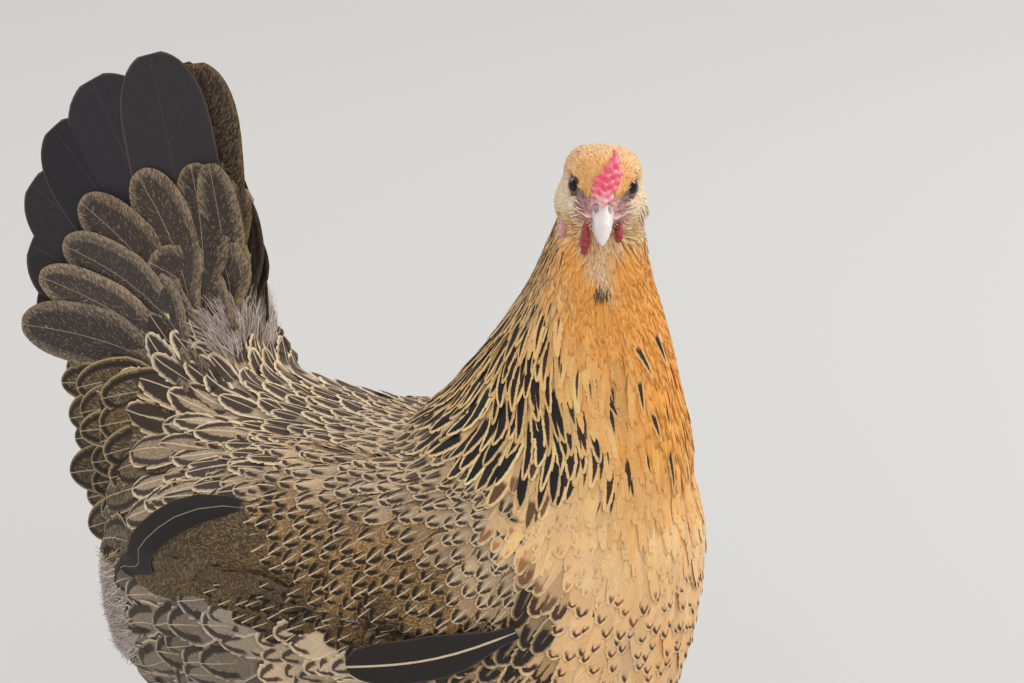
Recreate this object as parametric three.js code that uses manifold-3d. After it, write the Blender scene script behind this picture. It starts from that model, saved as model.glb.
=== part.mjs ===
// A standing hen, life size, as a still display model in named, closed pieces.
// Units are millimetres. The floor is z = 0, +Z is up, and the body faces -Y: its right side is -X.
// The body is modelled whole as smooth lofts, then parted by thin cuts, so neighbours never touch.
import * as THREE from "three";
import { mergeVertices } from "three/addons/utils/BufferGeometryUtils.js";
import Module from "manifold-3d";

const wasm = await Module();
wasm.setup();

// ---------- driving dimensions ----------
const CUT = 0.35; // width of every parting cut
const WING_CUT = 0.6; // the wings' beds are cut a little wider, because their faces are coarse
const FAR = 900; // edge of the boxes that cut, larger than the hen
const SIDES = { right: -1, left: 1 };

// Trunk sections, front to rear: half width, top, bottom and widest level of the feathered body.
const TRUNK_FRONT = { y: -145, z: 242 };
const TRUNK_REAR = { y: 154, z: 198 };
const TRUNK_POINTS = 20;
const TRUNK_RINGS = 14;
const TRUNK = [
  { y: -141, half: 22, top: 270, bottom: 212, widest: 242 },
  { y: -132, half: 43, top: 288, bottom: 173, widest: 238 },
  { y: -117, half: 58, top: 298, bottom: 147, widest: 234 },
  { y: -88, half: 72, top: 301, bottom: 133, widest: 230 },
  { y: -45, half: 81, top: 293, bottom: 126, widest: 228 },
  { y: 5, half: 84, top: 285, bottom: 122, widest: 227 },
  { y: 52, half: 83, top: 284, bottom: 122, widest: 225 },
  { y: 86, half: 76, top: 289, bottom: 125, widest: 221 },
  { y: 116, half: 65, top: 291, bottom: 128, widest: 214 },
  { y: 136, half: 52, top: 280, bottom: 130, widest: 204 },
  { y: 149, half: 32, top: 246, bottom: 147, widest: 197 },
];

// Cushion and tail base: level sections from inside the rump up to the covert bed of the tail.
const TAIL_BASE_POINTS = 16;
const TAIL_BASE_RINGS = 10;
const TAIL_BASE_TOP = new THREE.Vector3(0, 113, 380);
const TAIL_BASE = [
  { z: 206, y: 112, half: 34, front: 44, back: 32 },
  { z: 224, y: 112, half: 43, front: 50, back: 47 },
  { z: 240, y: 113, half: 49, front: 50, back: 57 },
  { z: 260, y: 115, half: 51, front: 49, back: 64 },
  { z: 280, y: 118, half: 47, front: 39, back: 65 },
  { z: 300, y: 121, half: 38, front: 30.5, back: 62 },
  { z: 322, y: 122, half: 27, front: 26, back: 56 },
  { z: 344, y: 120, half: 17, front: 25, back: 43 },
  { z: 362, y: 116, half: 9, front: 19, back: 28 },
  { z: 374, y: 114, half: 4.5, front: 12, back: 15 },
];

// Neck sections, level rings from inside the trunk up into the head.
const NECK_POINTS = 20;
const NECK_RINGS = 10;
const NECK = [
  { z: 256, x: 0, y: -74, half: 62, front: 69, back: 86 },
  { z: 280, x: 0, y: -79, half: 59, front: 65, back: 77 },
  { z: 296, x: 0, y: -83, half: 53, front: 60, back: 61 },
  { z: 313, x: 0, y: -87, half: 45, front: 53.5, back: 47 },
  { z: 330, x: 0, y: -93, half: 38, front: 45, back: 39.5 },
  { z: 346, x: 0, y: -98.5, half: 31.5, front: 34.5, back: 33 },
  { z: 363, x: 0, y: -102.5, half: 24.6, front: 26, back: 28 },
  { z: 378, x: 0, y: -105, half: 20.2, front: 21, back: 24 },
  { z: 393, x: 2.5, y: -105.5, half: 17, front: 17, back: 18 },
];

// The head's own frame: origin midway between the eyes, beak along -Y, crown along +Z.
const HEAD_PLACE = new THREE.Vector3(-15.5, -119, 403);
const HEAD_YAW = -51; // degrees, turned to the hen's right
const HEAD_NOD = 10; // degrees, beak down
const HEAD_TILT = 3.3; // degrees, crown towards the hen's left

// Head sections, by distance ahead of the eyes.
const HEAD_POINTS = 18;
const HEAD_RINGS = 11;
const HEAD_BACK = { ahead: -37, z: -8 };
const HEAD_FRONT = { ahead: 16.5, z: -6.8 };
const HEAD = [
  { ahead: -35.5, half: 9, top: 1.5, bottom: -17, widest: -9, pinch: 1 },
  { ahead: -29, half: 16.4, top: 8.4, bottom: -25, widest: -12, pinch: 1 },
  { ahead: -19, half: 20.8, top: 11.5, bottom: -28.5, widest: -14, pinch: 1 },
  { ahead: -10, half: 19.4, top: 11.9, bottom: -27.5, widest: -14, pinch: 1 },
  { ahead: -3, half: 15.4, top: 11.2, bottom: -24.5, widest: -11, pinch: 0.4 },
  { ahead: 4, half: 12.3, top: 7.8, bottom: -20, widest: -8.5, pinch: 0 },
  { ahead: 10, half: 8.6, top: 3.2, bottom: -15.5, widest: -7, pinch: 0 },
  { ahead: 15, half: 5.2, top: -1.6, bottom: -11.5, widest: -6.6, pinch: 0 },
];
// Where the head is pinched over the cheeks: shares of the half width, at even steps from there up to the crown.
const TEMPLES = [1, 0.95, 0.885, 0.835, 0.79, 0.765, 0.745, 0.72, 0.64, 0.5, 0];

// Eyes: round, mostly sunk in the head.
const EYE_RADIUS = 5;
const EYE_SEGMENTS = 12;
const EYE_PLACE = { out: 10.1, ahead: -2.8, z: -0.8 };

// Beak: both halves by distance ahead of the eyes.
const BEAK_POINTS = 12;
const BEAK_TIP = { ahead: 31.4, z: -13.8 };
const BEAK_UPPER = [
  { ahead: 10, half: 5.2, top: -1.9, bottom: -9.8 },
  { ahead: 15, half: 4.8, top: -2.1, bottom: -10.3 },
  { ahead: 20, half: 4.2, top: -3.6, bottom: -11.4 },
  { ahead: 25, half: 3.3, top: -6.3, bottom: -12.7 },
  { ahead: 29, half: 1.8, top: -9.9, bottom: -13.9 },
];
const BEAK_LOWER_TIP = { ahead: 27.4, z: -14.9 };
const BEAK_LOWER = [
  { ahead: 9, half: 4.6, top: -10, bottom: -15 },
  { ahead: 15, half: 4.1, top: -10.4, bottom: -15.6 },
  { ahead: 20, half: 3.2, top: -11.6, bottom: -16 },
  { ahead: 25, half: 1.7, top: -13, bottom: -15.9 },
];

// Comb: soft lumps that climb the forehead, with a smaller row down each side.
const COMB_LUMPS = 6;
const COMB_FROM = { ahead: 14.5, z: -0.5 };
const COMB_TO = { ahead: -4, z: 13 };
const COMB_SIDE_OUT = 3.1;
const COMB_SIDE_LUMPS = 4; // lumps up from the beak that have a smaller one on each side
const COMB_DRIFT = 3; // how far the top leans to the hen's left
const COMB_SIZE = { least: 1.9, swell: 2.6 }; // half size of the lumps, and how much they swell in the middle
const COMB_RISE = 0.8; // how high the lumps stand over their line
const COMB_WAVE = 0.4; // how far they waver from side to side
const COMB_SIDE_SIZE = 0.72; // of the lump beside

// Wattles and earlobes, by side: centre out, ahead and z, then half thickness, depth and height.
const WATTLES = {
  right: { out: 6.4, ahead: 7.5, z: -21, thick: 2.1, deep: 4.6, tall: 7.6 },
  left: { out: 7.6, ahead: 6.5, z: -17.6, thick: 1.8, deep: 4.2, tall: 4.8 },
};
const LOBES = {
  right: { out: 15.2, ahead: -8.5, z: -23, thick: 3, deep: 4.4, tall: 7.4 },
  left: { out: 17.2, ahead: -12, z: -20, thick: 3.4, deep: 4.2, tall: 6 },
};
const LUMP_SEGMENTS = 7;

// Folded wing: a bulge that follows the flank, by its lowest and highest level and its thickness.
const WING_FRONT = { y: -117, z: 250 };
const WING_REAR = { y: 116, z: 226 };
const WING_POINTS = 7; // along the outer face, and as many along the inner one
const WING_RINGS = 10;
const WING = [
  { y: -110, low: 233, high: 267, thick: 3 },
  { y: -95, low: 214, high: 277, thick: 6.5 },
  { y: -68, low: 207, high: 283, thick: 9 },
  { y: -25, low: 210, high: 283, thick: 9.5 },
  { y: 20, low: 215, high: 280, thick: 9 },
  { y: 62, low: 217, high: 269, thick: 7.5 },
  { y: 99, low: 214, high: 244, thick: 4.5 },
];

// A flight feather that droops below the right wing: root, tip and breadth of the blade.
const DROOP_ROOT = new THREE.Vector3(-66, -106, 214);
const DROOP_TIP = new THREE.Vector3(-88, -32, 190);
const DROOP_WIDTH = 20;
const BLADE_THICK = 1.8;

// Tail fan: on each side, flat blades in one upright plane, by angle back from upright.
const FAN_ROOT = { x: 8, y: 112, z: 285 };
const FAN_TURN = 15; // degrees that the two planes open towards the rear
const FAN_TILT = 5; // degrees that they lean together at the top
const FAN_STEP = 0.95; // each blade lies this far outside the next one back
const FAN = [
  { angle: 3, length: 127, width: 38 },
  { angle: 12, length: 145, width: 42 },
  { angle: 24.5, length: 141, width: 42 },
  { angle: 36.5, length: 130, width: 40 },
  { angle: 49, length: 117, width: 38 },
  { angle: 62, length: 99, width: 36 },
  { angle: 76, length: 86, width: 32 },
];

// Legs: level sections down the feathered thigh and the bare shank, then the foot.
const HIP_OUT = 45.5;
const THIGH_POINTS = 14;
const THIGH = [
  { z: 100, y: 24, half: 9, deep: 10.5 },
  { z: 109, y: 21, half: 13, deep: 16 },
  { z: 124, y: 14, half: 20, deep: 26 },
  { z: 145, y: 4, half: 25.5, deep: 36 },
  { z: 175, y: -4, half: 27, deep: 42 },
];
const SHANK_POINTS = 9;
const SHANK = [
  { z: 7, y: -9, half: 8.4, deep: 8.6 },
  { z: 16, y: -8, half: 7, deep: 7.2 },
  { z: 30, y: -4, half: 5.2, deep: 6 },
  { z: 60, y: 6, half: 4.9, deep: 5.9 },
  { z: 88, y: 17, half: 6, deep: 7.2 },
  { z: 99, y: 22, half: 7, deep: 8.6 },
  { z: 108, y: 22, half: 6.2, deep: 7.4 },
];
const FOOT_Y = -9;
const PAD = { half: 13, deep: 13, tall: 7.6, segments: 10 };
const PRESSED = 0.7; // how far a round underside is pressed flat on the floor
const TOE_POINTS = 8;
const TOES = {
  inner: { heading: 41, length: 44, radius: 4.2 },
  middle: { heading: 1, length: 60, radius: 4.4 },
  outer: { heading: -40, length: 47, radius: 4.2 },
  hind: { heading: 166, length: 27, radius: 3.7 },
};
const TOE_START = 7; // inside the pad
const TOE_SWELLS = [0.84, 0.98, 0.8, 1, 0.84, 0.64]; // the toe pads and the creases between them
const CLAW_POINTS = 6;
const CLAW_LENGTH = 12.5;
const CLAW_SIZES = [0.56, 0.48, 0.34, 0.16]; // of the toe's radius
const CLAW_ARCH = 0.9;
const CLAW_DROP = 2.1; // how far the claw's tip lies below its root

// ---------- shape helpers ----------
const X = new THREE.Vector3(1, 0, 0);
const Y = new THREE.Vector3(0, 1, 0);
const Z = new THREE.Vector3(0, 0, 1);

// The Catmull-Rom value between b and c, at a part from 0 to 1.
function throughFour(a, b, c, d, part) {
  const straight = 2 * b + (c - a) * part;
  const bent = (2 * a - 5 * b + 4 * c - d) * part ** 2;
  return 0.5 * (straight + bent + (3 * b - a - 3 * c + d) * part ** 3);
}

// One section at a place from 0 to the last hand-set section, each key on its own smooth curve.
function sectionAt(sections, place) {
  const last = sections.length - 1;
  const first = Math.min(Math.max(Math.floor(place), 0), last - 1);
  const near = [-1, 0, 1, 2].map((offset) => sections[Math.min(Math.max(first + offset, 0), last)]);
  const made = {};
  for (const key of Object.keys(sections[0])) {
    made[key] = throughFour(...near.map((section) => section[key]), place - first);
  }
  return made;
}

function smoothSections(sections, count) {
  return Array.from({ length: count }, (_, step) =>
    sectionAt(sections, (step / (count - 1)) * (sections.length - 1)),
  );
}

// An egg-shaped ring round a centre, its radii along +across, -across, +upward and -upward.
function eggRing(centre, across, upward, radii, points) {
  return Array.from({ length: points }, (_, step) => {
    const turn = (step / points) * 2 * Math.PI;
    const side = Math.cos(turn);
    const rise = Math.sin(turn);
    return centre
      .clone()
      .addScaledVector(across, side * (side > 0 ? radii.right : radii.left))
      .addScaledVector(upward, rise * (rise > 0 ? radii.up : radii.down));
  });
}

// The middle of a ring, for a flat end.
function middleOf(ring) {
  const sum = new THREE.Vector3();
  ring.forEach((corner) => sum.add(corner));
  return sum.divideScalar(ring.length);
}

// A closed body through equal rings, running along across x upward, with a point or a flat at each end.
function loft(rings, startPoint = middleOf(rings[0]), endPoint = middleOf(rings.at(-1))) {
  const points = rings[0].length;
  const corners = [...rings.flat(), startPoint, endPoint];
  const start = corners.length - 2;
  const end = corners.length - 1;
  const faces = [];
  for (let ring = 0; ring < rings.length - 1; ring++) {
    for (let step = 0; step < points; step++) {
      const a = ring * points + step;
      const b = ring * points + ((step + 1) % points);
      faces.push(a, b, b + points, a, b + points, a + points);
    }
  }
  const top = (rings.length - 1) * points;
  for (let step = 0; step < points; step++) {
    const next = (step + 1) % points;
    faces.push(start, next, step, end, top + step, top + next);
  }
  return new THREE.BufferGeometry().setFromPoints(corners).setIndex(faces);
}

// A flat feather blade: root at the origin, tip up +Y, width along X, its thickness along +Z.
function feather(length, width) {
  const half = width / 2;
  const outline = new THREE.Shape();
  outline.moveTo(-half * 0.35, 0);
  outline.bezierCurveTo(-half * 0.9, length * 0.25, -half, length * 0.5, -half, length - half * 1.1);
  outline.bezierCurveTo(-half, length - half * 0.3, -half * 0.55, length, 0, length);
  outline.bezierCurveTo(half * 0.55, length, half, length - half * 0.3, half, length - half * 1.1);
  outline.bezierCurveTo(half, length * 0.5, half * 0.9, length * 0.25, half * 0.35, 0);
  return new THREE.ExtrudeGeometry(outline, { depth: BLADE_THICK, bevelEnabled: false, curveSegments: 4 });
}

// ---------- joining and cutting ----------

function solidOf(shape) {
  const bare = shape.clone();
  bare.deleteAttribute("normal");
  bare.deleteAttribute("uv");
  const merged = mergeVertices(bare, 1e-4);
  const vertProperties = new Float32Array(merged.attributes.position.array);
  const triVerts = new Uint32Array(merged.index.array);
  return new wasm.Manifold(new wasm.Mesh({ numProp: 3, vertProperties, triVerts }));
}

function shapeOf(solid) {
  const made = solid.getMesh();
  const shape = new THREE.BufferGeometry();
  shape.setAttribute("position", new THREE.BufferAttribute(new Float32Array(made.vertProperties), 3));
  return shape.setIndex(new THREE.BufferAttribute(new Uint32Array(made.triVerts), 1));
}

// All that lies on the side of a plane that its normal points to, less a clearance.
function beyond(point, normal, clearance = 0) {
  const box = new THREE.BoxGeometry(FAR, FAR, FAR).translate(0, 0, FAR / 2 + clearance);
  const turn = new THREE.Quaternion().setFromUnitVectors(Z, normal.clone().normalize());
  return solidOf(box.applyQuaternion(turn).translate(point.x, point.y, point.z));
}

// The two sides of a plane cut through a body, each half a cut clear of the plane.
function part(body, point, normal) {
  return {
    ahead: body.intersect(beyond(point, normal, CUT / 2)),
    behind: body.intersect(beyond(point, normal.clone().negate(), CUT / 2)),
  };
}

function without(body, ...cutters) {
  return cutters.reduce((left, cutter) => left.subtract(cutter), body);
}

function joined(bodies) {
  return bodies.reduce((whole, body) => whole.add(body));
}

// The largest lump of a body, without the slivers that a grazing cut leaves.
function mainLump(body) {
  return body.decompose().sort((a, b) => b.volume() - a.volume())[0];
}

function aboveFloor(body) {
  return body.intersect(beyond(new THREE.Vector3(), Z));
}

// ---------- the hen's frame and finishes ----------

const hen = new THREE.Group();
const headGroup = new THREE.Group();
headGroup.position.copy(HEAD_PLACE);
headGroup.rotation.order = "ZXY";
headGroup.rotation.x = THREE.MathUtils.degToRad(HEAD_NOD);
headGroup.rotation.y = THREE.MathUtils.degToRad(HEAD_TILT);
headGroup.rotation.z = THREE.MathUtils.degToRad(HEAD_YAW);
headGroup.updateMatrixWorld(true);
hen.add(headGroup);

const FINISHES = {
  gold: { color: 0xd99a4a, roughness: 0.85 },
  brown: { color: 0x6b5238, roughness: 0.85 },
  black: { color: 0x2b2623, roughness: 0.6 },
  fluff: { color: 0xa89880, roughness: 0.95 },
  comb: { color: 0xd8324a, roughness: 0.5 },
  wattle: { color: 0xa03040, roughness: 0.5 },
  lobe: { color: 0xd39ab0, roughness: 0.6 },
  beak: { color: 0xe4dcd6, roughness: 0.4 },
  claw: { color: 0x8d8478, roughness: 0.45 },
  eye: { color: 0x5a2c10, roughness: 0.1 },
  shank: { color: 0x6d7466, roughness: 0.6 },
};

function addPiece(name, solid, finish, group = hen) {
  const material = new THREE.MeshStandardMaterial({ ...FINISHES[finish], metalness: 0 });
  const mesh = new THREE.Mesh(shapeOf(mainLump(solid)), material);
  mesh.name = name;
  group.add(mesh);
}

// ---------- trunk, neck, tail base and wings ----------

function trunkBody(grow = 0) {
  const rings = smoothSections(TRUNK, TRUNK_RINGS).map((section) => {
    const half = section.half + grow;
    const up = section.top - section.widest + grow;
    const down = section.widest - section.bottom + grow;
    const centre = new THREE.Vector3(0, section.y, section.widest);
    return eggRing(centre, X.clone().negate(), Z, { right: half, left: half, up, down }, TRUNK_POINTS);
  });
  const front = new THREE.Vector3(0, TRUNK_FRONT.y - grow, TRUNK_FRONT.z);
  const rear = new THREE.Vector3(0, TRUNK_REAR.y + grow, TRUNK_REAR.z);
  return solidOf(loft(rings, front, rear));
}

// A body of level rings, from sections by height with front and back radii.
function levelBody(sections, points, top, grow = 0) {
  const rings = sections.map((section) => {
    const half = section.half + grow;
    const radii = { right: half, left: half, up: section.back + grow, down: section.front + grow };
    return eggRing(new THREE.Vector3(section.x ?? 0, section.y, section.z), X, Y, radii, points);
  });
  return solidOf(loft(rings, undefined, top));
}

function neckBody() {
  return levelBody(smoothSections(NECK, NECK_RINGS), NECK_POINTS);
}

function tailBaseBody(grow = 0) {
  const top = TAIL_BASE_TOP.clone().addScaledVector(Z, grow);
  return levelBody(smoothSections(TAIL_BASE, TAIL_BASE_RINGS), TAIL_BASE_POINTS, top, grow);
}

// The trunk's section at one distance along the body.
function trunkAt(y) {
  const last = TRUNK.length - 1;
  let low = 0;
  let high = last;
  for (let halving = 0; halving < 30; halving++) {
    const middle = (low + high) / 2;
    const short = sectionAt(TRUNK, middle).y < y;
    low = short ? middle : low;
    high = short ? high : middle;
  }
  return sectionAt(TRUNK, low);
}

// A point on the flank at one height, moved out from the trunk's surface.
function onFlank(side, section, z, out) {
  const reach = z > section.widest ? section.top - section.widest : section.widest - section.bottom;
  const rise = (z - section.widest) / reach;
  const flat = Math.sqrt(Math.max(0, 1 - rise ** 2));
  const outward = new THREE.Vector3(side * (flat / section.half), 0, rise / reach).normalize();
  return new THREE.Vector3(side * section.half * flat, section.y, z).addScaledVector(outward, out);
}

function wingBody(side, grow = 0) {
  const rings = smoothSections(WING, WING_RINGS).map((place) => {
    const section = { ...trunkAt(place.y), y: place.y };
    const face = (direction) =>
      Array.from({ length: WING_POINTS }, (_, step) => {
        const part = (step + 0.5) / WING_POINTS;
        const z = place.low - grow + part * (place.high - place.low + 2 * grow);
        const bulge = (place.thick + grow) * Math.sqrt(Math.sin(Math.PI * part));
        return onFlank(side, section, z, direction * bulge);
      });
    const ring = [...face(1), ...face(-0.8).reverse()];
    return side > 0 ? ring.reverse() : ring;
  });
  const ends = [WING_FRONT, WING_REAR].map((end, rear) => {
    const section = trunkAt(end.y);
    return onFlank(side, { ...section, y: end.y + (rear ? grow : -grow) }, end.z, 0);
  });
  return solidOf(loft(rings, ends[0], ends[1]));
}

// A feather blade set from a root towards a tip, its face turned outwards.
function blade(root, tip, outward, width, offset) {
  const along = tip.clone().sub(root);
  const length = along.length();
  const up = along.normalize();
  const wide = up.clone().cross(outward).normalize();
  const face = wide.clone().cross(up);
  const start = root.clone().addScaledVector(face, offset);
  const frame = new THREE.Matrix4().makeBasis(wide, up, face).setPosition(start);
  return solidOf(feather(length, width).applyMatrix4(frame));
}

function fanBody(side) {
  const lean = -side * THREE.MathUtils.degToRad(FAN_TILT);
  const open = -side * THREE.MathUtils.degToRad(FAN_TURN);
  const turn = new THREE.Euler(0, lean, open);
  const root = new THREE.Vector3(side * FAN_ROOT.x, FAN_ROOT.y, FAN_ROOT.z);
  const outward = new THREE.Vector3(side, 0, 0).applyEuler(turn);
  const blades = FAN.map((quill, index) => {
    const angle = THREE.MathUtils.degToRad(quill.angle);
    const along = new THREE.Vector3(0, Math.sin(angle), Math.cos(angle)).applyEuler(turn);
    const tip = root.clone().addScaledVector(along, quill.length);
    return blade(root, tip, outward, quill.width, FAN_STEP * (FAN.length - index));
  });
  return joined(blades);
}

// ---------- head pieces, in the head's frame ----------

// Draws a corner of an egg-shaped ring in to the temples, by its share of the rise to the crown.
function pinchTemple(corner, rise, pinch) {
  if (rise <= 0 || rise >= 1) {
    return;
  }
  const step = Math.floor(rise * (TEMPLES.length - 1));
  const part = rise * (TEMPLES.length - 1) - step;
  const share = THREE.MathUtils.lerp(TEMPLES[step], TEMPLES[step + 1], part);
  corner.x *= THREE.MathUtils.lerp(1, share / Math.sqrt(1 - rise ** 2), pinch);
}

// A body along the head's forward axis, from sections by distance ahead of the eyes.
function headLoft(sections, points, front, back, grow = 0) {
  const rings = sections.map((section) => {
    const widest = section.widest ?? (section.top + section.bottom) / 2;
    const half = section.half + grow;
    const up = section.top - widest + grow;
    const down = widest - section.bottom + grow;
    const centre = new THREE.Vector3(0, -section.ahead, widest);
    const ring = eggRing(centre, X, Z, { right: half, left: half, up, down }, points);
    ring.forEach((corner) => pinchTemple(corner, (corner.z - widest) / up, section.pinch ?? 0));
    return ring;
  });
  const tip = new THREE.Vector3(0, -front.ahead - grow, front.z);
  const rear = back && new THREE.Vector3(0, -back.ahead + grow, back.z);
  return solidOf(loft(rings, rear, tip));
}

function headBody(grow = 0) {
  return headLoft(smoothSections(HEAD, HEAD_RINGS), HEAD_POINTS, HEAD_FRONT, HEAD_BACK, grow);
}

function beakUpper(grow = 0) {
  return headLoft(BEAK_UPPER, BEAK_POINTS, BEAK_TIP, undefined, grow);
}

function beakLower(grow = 0) {
  return headLoft(BEAK_LOWER, BEAK_POINTS, BEAK_LOWER_TIP, undefined, grow);
}

// A round lump from its half sizes and centre; x is to the hen's left, y back from the eyes.
function lump(half, centre, grow = 0) {
  const shape = new THREE.SphereGeometry(1, LUMP_SEGMENTS, LUMP_SEGMENTS - 3);
  return solidOf(shape.scale(half.x + grow, half.y + grow, half.z + grow).translate(...centre));
}

function eyeBall(side, grow = 0) {
  const shape = new THREE.SphereGeometry(EYE_RADIUS + grow, EYE_SEGMENTS, EYE_SEGMENTS - 4);
  return solidOf(shape.translate(side * EYE_PLACE.out, -EYE_PLACE.ahead, EYE_PLACE.z));
}

function combBody() {
  const lumps = [];
  for (let index = 0; index < COMB_LUMPS; index++) {
    const part = index / (COMB_LUMPS - 1);
    const swell = Math.sin(Math.PI * (0.25 + 0.68 * part));
    const size = COMB_SIZE.least + COMB_SIZE.swell * swell;
    const ahead = THREE.MathUtils.lerp(COMB_FROM.ahead, COMB_TO.ahead, part);
    const z = THREE.MathUtils.lerp(COMB_FROM.z, COMB_TO.z, Math.sqrt(part)) + COMB_RISE;
    const drift = COMB_DRIFT * part ** 1.5 + COMB_WAVE * Math.sin(index * 2.4);
    lumps.push(lump({ x: size, y: size * 0.85, z: size }, [drift, -ahead, z]));
    if (index > 0 && index < COMB_SIDE_LUMPS) {
      for (const side of Object.values(SIDES)) {
        const out = drift + side * COMB_SIDE_OUT * swell;
        const low = size * COMB_SIDE_SIZE;
        lumps.push(lump({ x: low, y: low, z: low }, [out, -ahead + 0.8 * side, z - 1]));
      }
    }
  }
  return joined(lumps);
}

// ---------- leg pieces ----------

function legLoft(side, sections, points, grow = 0) {
  const rings = sections.map((section) => {
    const half = section.half + grow;
    const deep = section.deep + grow;
    const centre = new THREE.Vector3(side * HIP_OUT, section.y, section.z);
    return eggRing(centre, X, Y, { right: half, left: half, up: deep, down: deep }, points);
  });
  return solidOf(loft(rings));
}

// The round pad under the ankle, where the toes meet.
function footPad(side, grow = 0) {
  const shape = new THREE.SphereGeometry(1, PAD.segments, PAD.segments - 4);
  shape.scale(PAD.half + grow, PAD.deep + grow, PAD.tall + grow);
  return solidOf(shape.translate(side * HIP_OUT, FOOT_Y, PAD.tall - PRESSED));
}

function shankBody(side, grow = 0) {
  return legLoft(side, SHANK, SHANK_POINTS, grow).add(footPad(side, grow));
}

function headingOf(side, toe) {
  const heading = THREE.MathUtils.degToRad(toe.heading);
  return new THREE.Vector3(-side * Math.sin(heading), -Math.cos(heading), 0);
}

// A round body that runs outwards over the floor, through rings of given radii and heights.
function groundLoft(side, direction, rings, tip, points) {
  const across = Z.clone().cross(direction);
  const placeAt = (out, z) => new THREE.Vector3(side * HIP_OUT, FOOT_Y, z).addScaledVector(direction, out);
  const made = rings.map(({ out, z, radius }) => {
    const radii = { right: radius, left: radius, up: radius, down: radius };
    return eggRing(placeAt(out, z), across, Z, radii, points);
  });
  return solidOf(loft(made, undefined, placeAt(tip.out, tip.z)));
}

function toeBody(side, toe, grow = 0) {
  const last = TOE_SWELLS.length - 1;
  const rings = TOE_SWELLS.map((swell, index) => {
    const radius = toe.radius * swell;
    const out = THREE.MathUtils.lerp(TOE_START, PAD.half + toe.length, index / last);
    return { out, z: toe.radius * 0.9 - PRESSED, radius: radius + grow };
  });
  const end = rings.at(-1);
  const tip = { out: end.out + 1.5 + grow, z: end.z };
  return groundLoft(side, headingOf(side, toe), rings, tip, TOE_POINTS);
}

function clawBody(side, toe) {
  const last = CLAW_SIZES.length;
  const start = PAD.half + toe.length - 1.5;
  const height = toe.radius * 0.9 - PRESSED;
  const placeOf = (index) => {
    const part = index / last;
    const arch = CLAW_ARCH * Math.sin(Math.PI * part) - CLAW_DROP * part ** 2;
    return { out: start + part * CLAW_LENGTH, z: height + arch };
  };
  const rings = CLAW_SIZES.map((size, index) => ({ ...placeOf(index), radius: size * toe.radius }));
  return groundLoft(side, headingOf(side, toe), rings, placeOf(last), CLAW_POINTS);
}

// A wattle or an earlobe, hanging at one side of the head.
function flap(side, place, grow = 0) {
  const half = { x: place.thick, y: place.deep, z: place.tall };
  return lump(half, [side * place.out, -place.ahead, place.z], grow);
}

// ---------- the body, parted ----------

const toWorld = headGroup.matrixWorld;
const intoHead = toWorld.clone().invert();
const inWorld = (solid) => solidOf(shapeOf(solid).applyMatrix4(toWorld));
const inHead = (solid) => solidOf(shapeOf(solid).applyMatrix4(intoHead));

const wingBeds = Object.values(SIDES).map((side) => wingBody(side, WING_CUT));
const flapBeds = Object.entries(SIDES).flatMap(([name, side]) => [
  flap(side, WATTLES[name], CUT),
  flap(side, LOBES[name], CUT),
]);
const eyeBeds = Object.values(SIDES).map((side) => eyeBall(side, CUT));
const rump = trunkBody().add(tailBaseBody());
const forePart = trunkBody().add(neckBody()).add(inWorld(headBody()));

// Head from neck: a slope from the throat up to the nape.
const napePoint = new THREE.Vector3(0, 8, -27).applyMatrix4(toWorld);
const napeNormal = new THREE.Vector3(0, -0.56, 0.83).transformDirection(toWorld);
const headSide = part(forePart, napePoint, napeNormal);

// Neck from trunk: a slope under the cape, from the breast back to the shoulders.
const capeSide = part(headSide.behind, new THREE.Vector3(0, -75, 287), new THREE.Vector3(0, -0.33, 0.944));

// Tail base from trunk: a nearly level cut over the cushion, kept to the rear of the saddle.
const midWall = new THREE.Vector3(0, 20, 0);
const rearHalf = rump.intersect(beyond(midWall, Y));
const rumpSide = part(rearHalf, new THREE.Vector3(0, 80, 301), new THREE.Vector3(0, 0.15, 0.99));
const foreHalf = capeSide.behind.intersect(beyond(midWall, Y.clone().negate()));

addPiece("trunk", without(foreHalf.add(rumpSide.behind), ...wingBeds), "brown");
addPiece("neck", without(capeSide.ahead, ...wingBeds, ...flapBeds.map(inWorld)), "gold");
addPiece("tail_base", rumpSide.ahead, "brown");

const tailBed = tailBaseBody(CUT).add(trunkBody(CUT));
for (const [name, side] of Object.entries(SIDES)) {
  addPiece(`wing_${name}`, wingBody(side), "brown");
  addPiece(`tail_fan_${name}`, without(fanBody(side), tailBed), "black");
}
const droopFace = new THREE.Vector3(-1, -0.2, -0.25);
const droop = blade(DROOP_ROOT, DROOP_TIP, droopFace, DROOP_WIDTH, 0);
addPiece("primary_right", without(droop, trunkBody(CUT), wingBeds[0]), "black");

// ---------- the head ----------

const headBeds = [...eyeBeds, ...flapBeds, beakUpper(CUT), beakLower(CUT)];
addPiece("head", without(inHead(headSide.ahead), ...headBeds), "gold", headGroup);
addPiece("beak_upper", beakUpper(), "beak", headGroup);
addPiece("beak_lower", without(beakLower(), beakUpper(CUT)), "beak", headGroup);
addPiece("comb", without(combBody(), headBody(CUT), beakUpper(CUT)), "comb", headGroup);
for (const [name, side] of Object.entries(SIDES)) {
  addPiece(`eye_${name}`, eyeBall(side), "eye", headGroup);
  addPiece(`wattle_${name}`, without(flap(side, WATTLES[name]), beakLower(CUT)), "wattle", headGroup);
  addPiece(`earlobe_${name}`, flap(side, LOBES[name]), "lobe", headGroup);
}

// ---------- the legs ----------

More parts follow.
